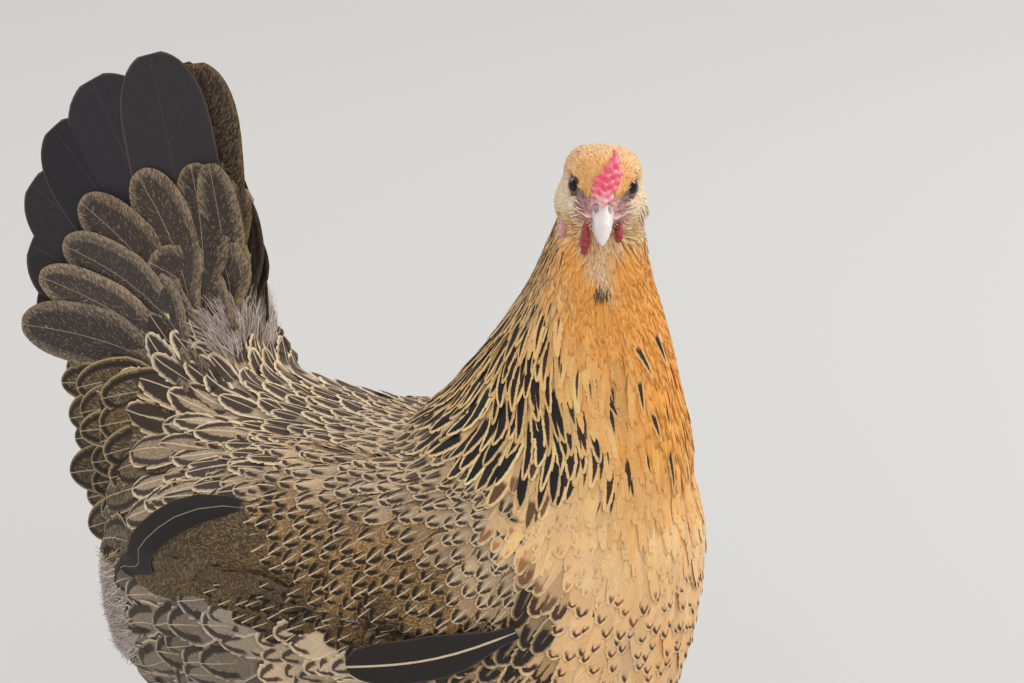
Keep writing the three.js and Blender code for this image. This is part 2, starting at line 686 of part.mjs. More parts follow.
for (const [name, side] of Object.entries(SIDES)) {
  const thigh = legLoft(side, THIGH, THIGH_POINTS);
  addPiece(`thigh_${name}`, without(thigh, shankBody(side, CUT), trunkBody(CUT)), "fluff");
  addPiece(`shank_${name}`, aboveFloor(shankBody(side)), "shank");
  for (const [toeName, toe] of Object.entries(TOES)) {
    const ball = shankBody(side, CUT);
    addPiece(`toe_${toeName}_${name}`, aboveFloor(without(toeBody(side, toe), ball)), "shank");
    const claw = without(clawBody(side, toe), toeBody(side, toe, CUT));
    addPiece(`claw_${toeName}_${name}`, aboveFloor(claw), "claw");
  }
}

// The origin lies on the floor, under the middle of the hen's length and breadth.
const middle = new THREE.Box3().setFromObject(hen).getCenter(new THREE.Vector3());
hen.position.set(-middle.x, -middle.y, 0);

export default hen;
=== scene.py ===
"""Looks of a standing hen: skin, coat, face and feet, built round its solids.

The plan of the hen is in millimetres, with the floor at z = 0, the body facing -Y and the right side at -X.
"""

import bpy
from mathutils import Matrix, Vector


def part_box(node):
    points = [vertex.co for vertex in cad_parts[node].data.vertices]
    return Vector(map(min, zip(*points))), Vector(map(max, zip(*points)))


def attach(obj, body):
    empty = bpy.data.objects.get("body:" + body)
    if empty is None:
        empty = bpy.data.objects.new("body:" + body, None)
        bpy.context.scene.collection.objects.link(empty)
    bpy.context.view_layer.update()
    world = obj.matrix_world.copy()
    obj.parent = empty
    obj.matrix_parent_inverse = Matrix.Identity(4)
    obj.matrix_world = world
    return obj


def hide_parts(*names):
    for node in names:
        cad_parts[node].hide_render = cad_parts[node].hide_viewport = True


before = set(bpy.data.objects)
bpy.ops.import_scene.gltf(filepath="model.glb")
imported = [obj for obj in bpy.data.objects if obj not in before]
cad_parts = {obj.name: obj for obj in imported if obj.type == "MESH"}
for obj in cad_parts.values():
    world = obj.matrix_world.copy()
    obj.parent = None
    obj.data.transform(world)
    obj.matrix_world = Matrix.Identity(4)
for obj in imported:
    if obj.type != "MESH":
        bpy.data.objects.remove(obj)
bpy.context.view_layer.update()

import logging
import math
from dataclasses import dataclass, field, fields, replace
from enum import Enum
from typing import Sequence

import bpy
import numpy as np
from mathutils import Vector
from mathutils.bvhtree import BVHTree
from mathutils.kdtree import KDTree

LOG = logging.getLogger("hen")
Array = np.ndarray
Chance = np.random.Generator
Colour = tuple[float, float, float]
Material = bpy.types.Material
Piece = bpy.types.Object
Spot = tuple[float, float, float]

MM = 0.001
TRUNK_FRONT_Y = -145.0  # the foremost point of the trunk in the plan
SHIFT = (0.0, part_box("trunk")[0].y / MM - TRUNK_FRONT_Y, 0.0)
SIDES = {"right": -1, "left": 1}
SEED = 7

# The head's own frame in the plan: origin midway between the eyes, bill along -Y.
HEAD_PLACE = np.array((-15.5, -119.0, 403.0))
HEAD_YAW, HEAD_NOD, HEAD_TILT = -51.0, 10.0, 3.3
EYE_OUT, EYE_AHEAD, EYE_Z, EYE_BALL = 10.1, -2.8, -0.8, 4.7  # the eyes' middles, and their radius


# ---------- places ----------


def turned(axis: int, degrees: float) -> Array:
    """A turn about one axis.

    Args:
        axis: 0, 1 or 2 for X, Y or Z.
        degrees: the angle, by the right-hand rule.

    Returns:
        A 3 by 3 matrix.
    """
    cos, sin = math.cos(math.radians(degrees)), math.sin(math.radians(degrees))
    one, two = [(1, 2), (2, 0), (0, 1)][axis]
    made = np.eye(3)
    made[one, one] = made[two, two] = cos
    made[one, two], made[two, one] = -sin, sin
    return made


HEAD_TURN = turned(2, HEAD_YAW) @ turned(0, HEAD_NOD) @ turned(1, HEAD_TILT)


def to_row(plan: Array) -> Array:
    """Plan millimetres as metres in the row's frame."""
    return (np.asarray(plan, float) + SHIFT) * MM


def to_plan(row: Array) -> Array:
    """Metres in the row's frame as plan millimetres."""
    return np.asarray(row, float) / MM - SHIFT


def head_to_plan(local: Array) -> Array:
    """Points of the head's frame as plan millimetres."""
    return np.asarray(local, float) @ HEAD_TURN.T + HEAD_PLACE


def plan_to_head(plan: Array) -> Array:
    """Plan millimetres as points of the head's frame."""
    return (np.asarray(plan, float) - HEAD_PLACE) @ HEAD_TURN


def unit(vectors: Array) -> Array:
    """Vectors brought to length one."""
    return vectors / np.maximum(np.linalg.norm(vectors, axis=-1, keepdims=True), 1e-12)


def ramp(values: Array, low: float, high: float) -> Array:
    """A smooth rise from 0 at low to 1 at high."""
    part = np.clip((values - low) / (high - low), 0, 1)
    return part * part * (3 - 2 * part)


def hump(*terms: tuple[Array, float, float]) -> Array:
    """A smooth hump of height 1, from values each with the middle and the reach that they count by."""
    return np.exp(-sum(((value - middle) / reach) ** 2 for value, middle, reach in terms))


# ---------- meshes ----------


def deselect() -> None:
    """Leaves object mode with nothing selected."""
    if bpy.context.mode != "OBJECT":
        bpy.ops.object.mode_set(mode="OBJECT")
    bpy.ops.object.select_all(action="DESELECT")


def activate(piece: Piece) -> None:
    """Makes one piece the only one selected, and the active one."""
    deselect()
    piece.select_set(True)
    bpy.context.view_layer.objects.active = piece


def apply_modifier(piece: Piece, kind: str, **settings: object) -> None:
    """Adds one modifier to a piece and applies it.

    Args:
        piece: the piece it shapes.
        kind: Blender's name of the modifier's type.
        settings: its settings by name.
    """
    activate(piece)
    modifier = piece.modifiers.new(kind.title(), kind)
    for key, value in settings.items():
        setattr(modifier, key, value)
    bpy.ops.object.modifier_apply(modifier=modifier.name)


def remesh(piece: Piece, cell: float, rounds: int, swell: float = 0.0) -> None:
    """Gives a piece an even, smooth mesh.

    Args:
        piece: the piece.
        cell: the size of the new faces, in mm.
        rounds: how often it is smoothed.
        swell: how far it is swollen first, in mm, to shut it over parting cuts.
    """
    if swell:
        apply_modifier(piece, "DISPLACE", strength=swell * MM, mid_level=0.0)
    apply_modifier(piece, "REMESH", mode="VOXEL", voxel_size=cell * MM)
    apply_modifier(piece, "SMOOTH", factor=0.5, iterations=rounds)


def copied(name: str, nodes: Sequence[str]) -> Piece:
    """One object from merged copies of some solids.

    Args:
        name: the new object's name.
        nodes: the solids' names.

    Returns:
        The copy, with no materials.
    """
    deselect()
    for node in nodes:
        copy = bpy.data.objects.new(name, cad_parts[node].data.copy())
        copy.data.materials.clear()
        bpy.context.scene.collection.objects.link(copy)
        copy.select_set(True)
        bpy.context.view_layer.objects.active = copy
    if len(nodes) > 1:
        bpy.ops.object.join()
    bpy.ops.object.mode_set(mode="EDIT")
    bpy.ops.mesh.select_all(action="SELECT")
    bpy.ops.mesh.remove_doubles(threshold=1e-5)
    bpy.ops.object.mode_set(mode="OBJECT")
    found = bpy.context.view_layer.objects.active
    found.name = name
    return found


def book(piece: Piece, nodes: Sequence[str]) -> None:
    """Books a finished piece in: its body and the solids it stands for."""
    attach(piece, "root")
    if nodes:
        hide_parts(*nodes)
    LOG.info("%s: %d faces", piece.name, len(piece.data.polygons))


def settled(piece: Piece, finish: Material, nodes: Sequence[str]) -> None:
    """Dresses a finished piece and books it in.

    Args:
        piece: the piece.
        finish: its material.
        nodes: the solids it stands for.
    """
    piece.data.materials.clear()
    piece.data.materials.append(finish)
    piece.data.shade_smooth()
    book(piece, nodes)


def read(items: bpy.types.bpy_prop_collection, key: str, width: int, kind: type = float) -> Array:
    """One property of a mesh's parts, a row of a given width for each."""
    found = np.empty(len(items) * width, dtype=kind)
    items.foreach_get(key, found)
    return found.reshape(-1, width)


def places_of(piece: Piece) -> Array:
    """The places of a piece's vertices, in metres."""
    return read(piece.data.vertices, "co", 3)


def normals_of(piece: Piece) -> Array:
    """The normals at a piece's vertices."""
    return read(piece.data.vertex_normals, "vector", 3)


def move_vertices(piece: Piece, places: Array) -> None:
    """Puts a piece's vertices at new places, in metres."""
    piece.data.vertices.foreach_set("co", places.ravel())
    piece.data.update()


def push(piece: Piece, rise: Array) -> None:
    """Moves a piece's vertices out along their normals, by as many mm as rise says for each."""
    move_vertices(piece, places_of(piece) + normals_of(piece) * rise[:, None] * MM)


def local_to_head(piece: Piece) -> Array:
    """The places of a piece's vertices in the head's frame."""
    return plan_to_head(to_plan(places_of(piece)))


def add_attribute(mesh: bpy.types.Mesh, name: str, values: Array) -> None:
    """Stores values on a mesh's vertices.

    Args:
        mesh: the mesh.
        name: the attribute's name.
        values: one number, three numbers or four numbers (a colour) for each vertex.
    """
    width = 1 if values.ndim == 1 else values.shape[1]
    kind, key = {1: ("FLOAT", "value"), 3: ("FLOAT_VECTOR", "vector"), 4: ("FLOAT_COLOR", "color")}[width]
    made = mesh.attributes.new(name, kind, "POINT")
    made.data.foreach_set(key, np.ascontiguousarray(values, dtype=np.float32).ravel())


def with_alpha(colours: Array) -> Array:
    """Colours with a fourth channel of 1."""
    return np.concatenate([colours, np.ones((len(colours), 1))], axis=1)


# ---------- finishes ----------


class Value:
    """A number or colour of a material's node tree, with the signs of arithmetic."""

    def __init__(self, graph: "Graph", socket: bpy.types.NodeSocket) -> None:
        """Keeps the output socket, and the graph it belongs to."""
        self.graph, self.socket = graph, socket

    def __add__(self, other: object) -> "Value":
        """The sum."""
        return self.graph.math("ADD", self, other)

    def __sub__(self, other: object) -> "Value":
        """The difference."""
        return self.graph.math("SUBTRACT", self, other)

    def __rsub__(self, other: object) -> "Value":
        """The difference, taken from a plain number."""
        return self.graph.math("SUBTRACT", other, self)

    def __mul__(self, other: object) -> "Value":
        """The product."""
        return self.graph.math("MULTIPLY", self, other)

    def __truediv__(self, other: object) -> "Value":
        """The quotient."""
        return self.graph.math("DIVIDE", self, other)


class Graph:
    """A material's node tree, built value by value."""

    def __init__(self, name: str) -> None:
        """Starts an empty material with one Principled shader."""
        self.material = bpy.data.materials.new(name)
        self.material.use_nodes = True
        self.tree = self.material.node_tree
        self.shader = next(n for n in self.tree.nodes if n.type == "BSDF_PRINCIPLED")

    def put(self, socket: bpy.types.NodeSocket, value: object) -> None:
        """Links or sets one input socket."""
        if isinstance(value, Value):
            self.tree.links.new(value.socket, socket)
        else:
            socket.default_value = (*value, 1.0) if socket.type == "RGBA" and len(value) == 3 else value

    def node(
        self, kind: str, inputs: dict[str | int, object], output: str | int = 0, **settings: object
    ) -> Value:
        """Adds a node.

        Args:
            kind: Blender's name of the node's type, less the word in front that all share.
            inputs: what goes in, by the inputs' names or numbers.
            output: the name or number of the output that is used.
            settings: the node's own settings.

        Returns:
            The output.
        """
        made = self.tree.nodes.new(f"ShaderNode{kind}")
        for key, value in settings.items():
            setattr(made, key, value)
        for key, value in inputs.items():
            self.put(made.inputs[key], value)
        return Value(self, made.outputs[output])

    def math(self, operation: str, *values: object, clamp: bool = False) -> Value:
        """One sum, product or other simple rule on numbers."""
        return self.node("Math", dict(enumerate(values)), operation=operation, use_clamp=clamp)

    def step(self, value: object, low: object, high: object) -> Value:
        """A smooth rise from 0 at low to 1 at high."""
        return self.node(
            "MapRange", {"Value": value, "From Min": low, "From Max": high}, interpolation_type="SMOOTHSTEP"
        )

    def blend(self, low: object, high: object, part: object) -> Value:
        """Two colours mixed by a part from 0 to 1."""
        return self.node("Mix", {0: part, 6: low, 7: high}, 2, data_type="RGBA")

    def scaled(self, colour: Value, by: Value) -> Value:
        """A colour made brighter or darker."""
        return self.node("VectorMath", {0: colour, "Scale": by}, operation="SCALE")

    def attribute(self, name: str, output: str = "Color") -> Value:
        """Reads one of the piece's own attributes."""
        return self.node("Attribute", {}, output, attribute_name=name, attribute_type="GEOMETRY")

    def split(self, name: str) -> list[Value]:
        """The three numbers of one of the piece's own attributes."""
        first = self.node("SeparateXYZ", {0: self.attribute(name, "Vector")})
        return [Value(self, socket) for socket in first.socket.node.outputs]

    def join(self, *numbers: object) -> Value:
        """Three numbers as a vector."""
        return self.node("CombineXYZ", dict(enumerate(numbers)))

    def noise(self, vector: Value, scale: float, detail: float = 2.0, rough: float = 0.5) -> Value:
        """A cloudy pattern from 0 to 1."""
        return self.node(
            "TexNoise", {"Vector": vector, "Scale": scale, "Detail": detail, "Roughness": rough}, "Fac"
        )

    def place(self) -> Value:
        """The point's own place, in metres."""
        return self.node("TexCoord", {}, "Object")

    def bump(self, height: Value, strength: float, distance: float = 0.0004) -> Value:
        """A normal roughened by a height."""
        return self.node("Bump", {"Height": height, "Strength": strength, "Distance": distance}, "Normal")

    def finish(self, **inputs: object) -> Material:
        """Fills the shader's inputs, by names with _ for spaces, and hands back the material."""
        for key, value in inputs.items():
            self.put(self.shader.inputs[key.replace("_", " ")], value)
        return self.material


@dataclass(frozen=True)
class VaneFinish:
    """Feather web with its lace, marks, flecks and shaft, drawn from each feather's own attributes."""

    name: str
    roughness: float = 0.62
    barb_pitch: float = 0.85  # mm between the clumps of barbs
    barb_slant: float = 1.3
    fleck_size: float = 1.05  # mm
    shaft_colour: Colour = (0.80, 0.66, 0.45)

    def material(self) -> Material:
        """The finish as a material."""
        g = Graph(self.name)
        across, inset, along = g.split("span")
        lace, mark_from, mark_deep = g.split("marks")
        start, shaft, fleck = g.split("more")
        ground, mark, edge = (g.attribute(name) for name in ("ground", "mark", "edge"))
        seed = g.attribute("luck", "Fac") * 97.0
        aside = g.math("ABSOLUTE", across)
        barb = along - aside * self.barb_slant
        streak = g.noise(g.join(barb / self.barb_pitch, across * 0.12, seed), 1.0, 3.0, 0.6)
        frayed = inset + (streak - 0.5) * (lace * 1.3 + 0.8)
        grain = g.noise(
            g.join(barb / self.fleck_size, across / (self.fleck_size * 1.7), seed), 1.3, 2.0, 0.75
        )
        flecked = g.step(grain, 0.51, 0.58) * fleck
        body = g.blend(ground, g.blend(mark, edge, 0.72), flecked)
        mark_to = mark_from + mark_deep
        marked = g.step(frayed, mark_from, mark_from + 0.45) * (1.0 - g.step(frayed, mark_to, mark_to + 0.9))
        body = g.blend(body, mark, marked * g.step(along + (streak - 0.5) * 5.0, start, start + 2.5))
        solid = 1.0 - g.step(frayed, lace - 0.2, lace + 0.22)
        rim = 1.0 - g.step(inset, lace * 0.25, lace * 1.7 + 0.3)
        stipple = g.step(grain + rim * 0.17, 0.58, 0.68)
        broad = g.step(lace, 1.2, 2.4) * fleck
        laced = g.math("ADD", solid * (1.0 - broad), stipple * broad, clamp=True)
        body = g.blend(body, edge, laced * g.math("GREATER_THAN", lace, 0.02))
        grown = shaft * (g.step(along, start, start + 12.0) * 0.9 + 0.55)
        rib = 1.0 - g.step(aside, grown * 0.6, grown * 1.1 + 0.04)
        rib = rib * g.math("GREATER_THAN", shaft, 0.02) * g.step(along, start - 2.0, start + 1.0)
        body = g.blend(body, self.shaft_colour, rib * (g.step(shaft, 0.0, 0.28) * 0.88))
        colour = g.scaled(body, streak * 0.76 + 0.62)
        relief = g.bump(streak + rib * 1.5, 0.35)
        return g.finish(Base_Color=colour, Roughness=self.roughness, Normal=relief, Specular_IOR_Level=0.3)


@dataclass(frozen=True)
class HideFinish:
    """Bare or feathered skin, its colour painted on its own vertices."""

    name: str
    roughness: float = 0.6
    grain: float = 900.0
    relief: float = 0.3

    def material(self) -> Material:
        """The finish as a material."""
        g = Graph(self.name)
        noise = g.noise(g.place(), self.grain, 3.0, 0.6)
        colour = g.scaled(g.attribute("paint"), noise * 0.44 + 0.78)
        return g.finish(Base_Color=colour, Roughness=self.roughness, Normal=g.bump(noise, self.relief))


@dataclass(frozen=True)
class FleshFinish:
    """Waxy red flesh of comb and wattles: two tones, paler towards one end, with a fine grain; the paleness
    it reads also holds painted light on ridges and painted shade in folds.
    """

    name: str
    deep: Colour
    pale: Colour
    roughness: float = 0.42
    cloud: float = 245.0  # the scale of the two tones
    grain: float = 1680.0
    bleed: Spot = (0.002, 0.0006, 0.0004)  # how far red, green and blue light spread inside, in metres

    def material(self) -> Material:
        """The finish as a material."""
        g = Graph(self.name)
        place = g.place()
        cloud = (g.noise(place, self.cloud) - 0.5) * 0.6
        colour = g.blend(
            self.deep, self.pale, g.math("ADD", cloud, g.attribute("paleness", "Fac"), clamp=True)
        )
        return g.finish(
            Base_Color=colour, Roughness=self.roughness, Normal=g.bump(
                g.noise(place, self.grain), 0.25, 0.0003
            ),
            Subsurface_Weight=0.15, Subsurface_Radius=self.bleed, Subsurface_Scale=1.0,
        )


@dataclass(frozen=True)
class HornFinish:
    """Smooth horn of bill and claws, with faint lengthwise growth lines, and a grey where the tone is below
    zero: painted shade in the bill's nostril hollows, and the grey skin beside them.
    """

    name: str
    base: Colour
    tip: Colour
    # grey for a tone below zero: painted shade in the nostril hollows, and the grey skin beside them
    hollow: Colour = (0.36, 0.27, 0.29)
    roughness: float = 0.35

    def material(self) -> Material:
        """The finish as a material."""
        g = Graph(self.name)
        tone = g.attribute("paleness", "Fac")
        lines = g.noise(g.place(), 420.0, 3.0, 0.6)
        part = g.math("ADD", tone, (lines - 0.5) * 0.35, clamp=True)
        horn = g.blend(self.hollow, g.blend(self.base, self.tip, part), g.step(tone, -0.7, -0.05))
        return g.finish(Base_Color=horn, Roughness=self.roughness, Normal=g.bump(lines, 0.12))


@dataclass(frozen=True)
class EyeFinish:
    """Wet eye: black pupil, a thin bright iris and a dark rim, by distance from the eye's own axis; the iris
    is painted darker towards its top, as shade under the brow.
    """

    name: str
    pupil: Colour = (0.004, 0.003, 0.003)
    iris: Colour = (0.50, 0.15, 0.02)
    rim: Colour = (0.06, 0.02, 0.01)

    def material(self) -> Material:
        """The finish as a material."""
        g = Graph(self.name)
        out = g.attribute("off_axis", "Fac")
        rays = 1.15 - g.noise(g.place(), 1600.0) * 0.5
        # painted shade: the iris darkens towards its top, where the brow shades it
        iris = g.blend(self.rim, self.iris, g.math("MULTIPLY", rays, g.attribute("iris_painted_light", "Fac"), clamp=True))
        colour = g.blend(g.blend(self.pupil, iris, g.step(out, 2.4, 2.65)), self.rim, g.step(out, 3.3, 3.6))
        return g.finish(
            Base_Color=colour, Roughness=0.12, Specular_IOR_Level=0.3, Coat_Weight=0.3, Coat_Roughness=0.02
        )


# ---------- skin ----------

WING_TABLE = np.array([  # y, lowest and highest level of the folded wing
    (-117, 246, 252), (-110, 233, 267), (-95, 214, 277), (-68, 207, 283), (-25, 210, 283),
    (20, 215, 280), (62, 217, 269), (99, 214, 244), (116, 222, 230),
], float)
WING_INNER_X = 38  # mm, the wings lie further out than this


def on_wing(plan: Array, margin: float = 0.0) -> Array:
    """How far plan points lie inside the outline of the folded wings, in mm, negative outside."""
    y, (stations, lows, highs) = plan[:, 1], WING_TABLE.T
    inside = np.minimum(plan[:, 2] - np.interp(y, stations, lows), np.interp(y, stations, highs) - plan[:, 2])
    inside = np.minimum(inside, np.minimum(y - stations[0], stations[-1] - y))
    return np.where(np.abs(plan[:, 0]) > WING_INNER_X, inside, -50.0) + margin


def above_throat(plan: Array) -> Array:
    """How far plan points lie on the head's side of the slope from throat to nape, in mm."""
    return (plan_to_head(plan) - (0, 8, -27)) @ (0, -0.56, 0.83)


def in_hollow(plan: Array) -> Array:
    """Whether plan points lie in the narrow hollow behind the tail, between its halves."""
    return (np.abs(plan[:, 0]) < 32) & (plan[:, 1] > 118) & (plan[:, 2] > 212)


@dataclass
class Skin:
    """The one skin under the coat, from bill to hocks, with the bare face worked into its front."""

    nodes: tuple[str, ...] = (
        "head", "neck", "trunk", "tail_base", "wing_right", "wing_left", "thigh_right", "thigh_left"
    )
    cell: float = 2.5  # mm, of the even mesh
    closing: float = 0.45  # mm, swells the parts shut over their parting cuts
    body_coat: float = 4.2
    head_coat: float = 1.3
    crown_swell: float = 1.7  # mm, keeps the crown broad under its short feathers
    gape_from: Spot = (4.4, 14.5, -9.0)  # out, ahead and z of the corner line of the mouth
    gape_to: Spot = (11.0, 6.5, -10.6)
    flesh: Colour = (0.56, 0.25, 0.24)
    # grey of the lids, also used as painted shade under the front of the eye
    lid_dark: Colour = (0.13, 0.10, 0.105)

    def build(self) -> Piece:
        """Makes the skin and paints it.

        Returns:
            The skin's object.
        """
        skin = copied("skin", self.nodes)
        remesh(skin, self.cell, 5, self.closing)
        self.sink(skin)
        apply_modifier(skin, "SMOOTH", factor=0.5, iterations=3)
        self.refine(skin)
        self.work_face(skin)
        self.paint(skin)
        settled(skin, HideFinish("skin", relief=0.7).material(), self.nodes)
        return skin

    def sink(self, skin: Piece) -> None:
        """Draws the skin in by the depth of the coat that covers it."""
        plan = to_plan(places_of(skin))
        headward = ramp(above_throat(plan), -8, 10)
        x, y, z = plan_to_head(plan).T
        depth = self.body_coat * (1 - headward) + self.head_coat * headward
        sideways = np.clip(np.abs(x) / 13, 0.08, 1)
        depth -= self.crown_swell * sideways * headward * ramp(z, -6, 4) * ramp(y, -2, 6)
        push(skin, -depth)

    def refine(self, skin: Piece) -> None:
        """Subdivides the head once, and the face twice more."""
        for cuts, reach, low in ((1, math.inf, -math.inf), (2, 6.0, -22.0)):
            activate(skin)
            plan = to_plan(read(skin.data.polygons, "center", 3))
            local = plan_to_head(plan)
            chosen = (above_throat(plan) > -6) & (local[:, 1] < reach) & (local[:, 2] > low)
            bpy.ops.object.mode_set(mode="EDIT")
            bpy.ops.mesh.select_mode(type="FACE")
            bpy.ops.mesh.select_all(action="DESELECT")
            bpy.ops.object.mode_set(mode="OBJECT")
            skin.data.polygons.foreach_set("select", chosen)
            bpy.ops.object.mode_set(mode="EDIT")
            bpy.ops.mesh.subdivide(number_cuts=cuts, smoothness=0.0)
            bpy.ops.mesh.vertices_smooth(factor=0.5, repeat=3)
            bpy.ops.object.mode_set(mode="OBJECT")

    def face_places(self, plan: Array) -> tuple[Array, ...]:
        """Distances on the face, in mm, that the folds and the paint are set out by.

        Args:
            plan: plan points.

        Returns:
            How far out, ahead and up they lie, their distance from the eye's middle along the head's side,
            their distance from the mouth's corner line, and their height over it.
        """
        local = plan_to_head(plan)
        out, ahead, z = np.abs(local[:, 0]), -local[:, 1], local[:, 2]
        eye = np.hypot((ahead - EYE_AHEAD) / np.where(ahead > EYE_AHEAD, 0.92, 1.05), z - EYE_Z)
        start, end = np.array(self.gape_from), np.array(self.gape_to)
        here = np.stack([out, ahead, z], axis=1)
        line = end - start
        part = np.clip((here - start) @ line / (line @ line), 0, 1)
        nearest = start + part[:, None] * line
        return out, ahead, z, eye, np.linalg.norm(here - nearest, axis=1), z - nearest[:, 2]

    def work_face(self, skin: Piece) -> None:
        """Presses eye sockets, lores and mouth corners in, and raises lids, brows and the gape's flanges."""
        places = places_of(skin)
        plan = to_plan(places)
        near = above_throat(plan) > -4
        local = plan_to_head(plan[near])
        out, ahead, z, eye, gape, rise = self.face_places(plan[near])
        on_side = ramp(out, 6.0, 8.5)
        ball = EYE_OUT + np.sqrt(np.maximum(0, EYE_BALL**2 - np.minimum(eye, EYE_BALL - 0.2) ** 2)) + 0.45
        lid = (ball - out) * ramp(eye, 3.3, 3.7) * (1 - ramp(eye, 4.5, 6.6))
        lid = np.where(ahead < EYE_AHEAD - 2, np.minimum(lid, 0.8), lid) + 0.25 * hump((eye, 3.9, 0.35))
        socket = (EYE_OUT - 1.5 - out) * (1 - ramp(eye, 3.1, 3.5))
        brow = hump((z - 4.4 - 0.12 * (ahead + 3), 0, 1.5)) * on_side
        brow *= ramp(-ahead, -8, -2) * ramp(ahead, -13, -6)
        lores = -1.3 * hump((ahead, 5.5, 3.0), (z, -3.4, 2.8)) * ramp(out, 3.5, 6.0)
        flange = 1.3 * hump((rise, 0.8, 0.95), (gape, 0, 2.0))
        crease = -1.2 * hump((rise, -0.6, 0.5), (gape, 0, 2.2))
        lower = 0.5 * hump((rise, -1.8, 0.7), (gape, 0, 3.0))
        skinny = ramp(ahead, 1, 3) * (1 - ramp(z, 0, 2)) * ramp(z, -20, -17)
        ripple = 0.34 * np.sin(z * 3.3 + 1.8 * np.sin(ahead * 1.3)) * np.cos(out * 2.1 + ahead * 1.2) * skinny
        ripple = ripple - 1.1 * hump((ahead, 6.5, 3.5), (z, -13.5, 4.5)) * ramp(out, 4, 7)
        aside = lid * on_side + socket * on_side + brow
        outwards = lores + flange + crease + lower + ripple
        moved = np.sign(local[:, :1]) * HEAD_TURN[:, 0] * aside[:, None]
        places[near] += (moved + normals_of(skin)[near] * outwards[:, None]) * MM
        move_vertices(skin, places)

    def bare(self, plan: Array) -> Array:
        """How bare the skin is at plan points of the head, from 0 (feathered) to 1."""
        out, ahead, z, eye, _, _ = self.face_places(plan)
        round_eye = (1 - ramp(eye + 0.9 * ramp(z, 1.5, 3.5), 5.4, 6.0)) * ramp(out, 4, 6)
        roof = np.interp(out, [3.0, 6.5, 9.0, 12.0], [1.5, -2.6, -0.8, 0.6])
        lores = ramp(ahead, 0.5, 2.5) * (1 - ramp(z, roof - 0.6, roof + 0.8)) * ramp(z, -15.0, -13.2)
        lores *= 1 - ramp(out, 11.6, 12.8)
        under = ramp(ahead, 4.5, 6.5) * (1 - ramp(out, 5.5, 7.2)) * ramp(z, -20.0, -18.0) * (
            1 - ramp(z, -11, -9)
        )
        beak = ramp(ahead, 9.5, 11.0) * (1 - ramp(z, 2.0, 4.0))
        return np.maximum.reduce([round_eye, lores, under, beak]) * (above_throat(plan) > 0)

    def paint(self, skin: Piece) -> None:
        """Colours the skin: undercoat tones below the feathers, and the face's own flesh tones, with painted
        shade in the mouth's corner crease and under the front of the eye.
        """
        plan = to_plan(places_of(skin))
        colours = body_tone(plan)
        near = above_throat(plan) > -4
        out, ahead, z, eye, gape, rise = self.face_places(plan[near])
        face = np.tile(np.array(self.flesh), (near.sum(), 1))
        for colour, part in (
            ((0.54, 0.345, 0.345), hump((ahead, 5.5, 3.6), (z, -3.2, 4.2)) * ramp(out, 4, 6.5)),
            ((0.20, 0.145, 0.15), 0.75 * hump((ahead, 3.4, 2.0), (z, -2.0, 2.0)) * ramp(out, 4.5, 6.5)),
            ((0.62, 0.34, 0.27), ramp(eye, 4.9, 5.6) * (1 - ramp(eye, 6.2, 8.0)) * ramp(-z, 1.0, 4.0) * 0.9),
            (self.lid_dark, (1 - ramp(eye, 5.0, 6.4)) * ramp(out, 5, 7)),
            # painted shade: a grey patch under the front of the eye
            (self.lid_dark, hump((ahead, 0.5, 2.4), (z, -5.6, 1.9)) * ramp(out, 6, 8)),
            ((0.96, 0.74, 0.72), hump((rise, 0.8, 1.1), (gape, 0, 2.6))),
            ((0.84, 0.50, 0.47), hump((rise, -2.0, 0.8), (gape, 0, 3.4)) * 0.9),
            # painted shade: a near-black line along the pressed-in crease below the mouth's corner line
            ((0.05, 0.012, 0.014), hump((rise, -0.65, 0.5), (gape, 0, 2.3)) * ramp(out, 5.0, 8)),
            ((0.80, 0.42, 0.43), hump((ahead, 12.5, 4.0), (z, -2.6, 3.6)) * (1 - ramp(out, 4.8, 7.5))),
        ):
            face = face * (1 - part[:, None]) + np.array(colour) * part[:, None]
        fleck = np.sin(z * 6.1 + 2.0 * np.sin(ahead * 5.0)) * np.sin(out * 6.7 + 1.5 * np.sin(z * 4.3))
        face *= 1 + 0.22 * fleck[:, None]
        part = ramp(above_throat(plan[near]), -4, 4)[:, None] * self.bare(plan[near])[:, None]
        colours[near] = colours[near] * (1 - part) + face * part
        add_attribute(skin.data, "paint", with_alpha(colours))


# ---------- the lie and the looks of the coat ----------


@dataclass(frozen=True)
class Look:
    """How the feathers of one place look. Lengths are in mm and colours are linear."""

    ground: Colour
    mark: Colour
    edge: Colour
    lace: float  # width of the pale or bright edging
    mark_from: float  # how far inside the outline the dark mark starts
    mark_deep: float  # and how wide it is
    start: float  # part of the length where the mark starts
    shaft: float  # half width of the pale shaft line
    fleck: float  # 0 plain, 1 finely speckled
    length: float
    width: float
    pitch: float  # between neighbours
    lift: float  # how far the tip stands off the skin
    point: float = 0  # 0 round tip, 1 pointed
    down: float = 0  # 1 where the web is loose and frays
    vary: float = 0.12  # spread of brightness from feather to feather

    def row(self) -> Array:
        """All of the look's numbers in a row, as COLUMNS has them."""
        return np.hstack([getattr(self, item.name) for item in fields(self)]).astype(float)


COLUMNS: dict[str, int | slice] = {"ground": slice(0, 3), "mark": slice(3, 6), "edge": slice(6, 9)}
COLUMNS.update({item.name: place for place, item in enumerate(fields(Look)[3:], 9)})


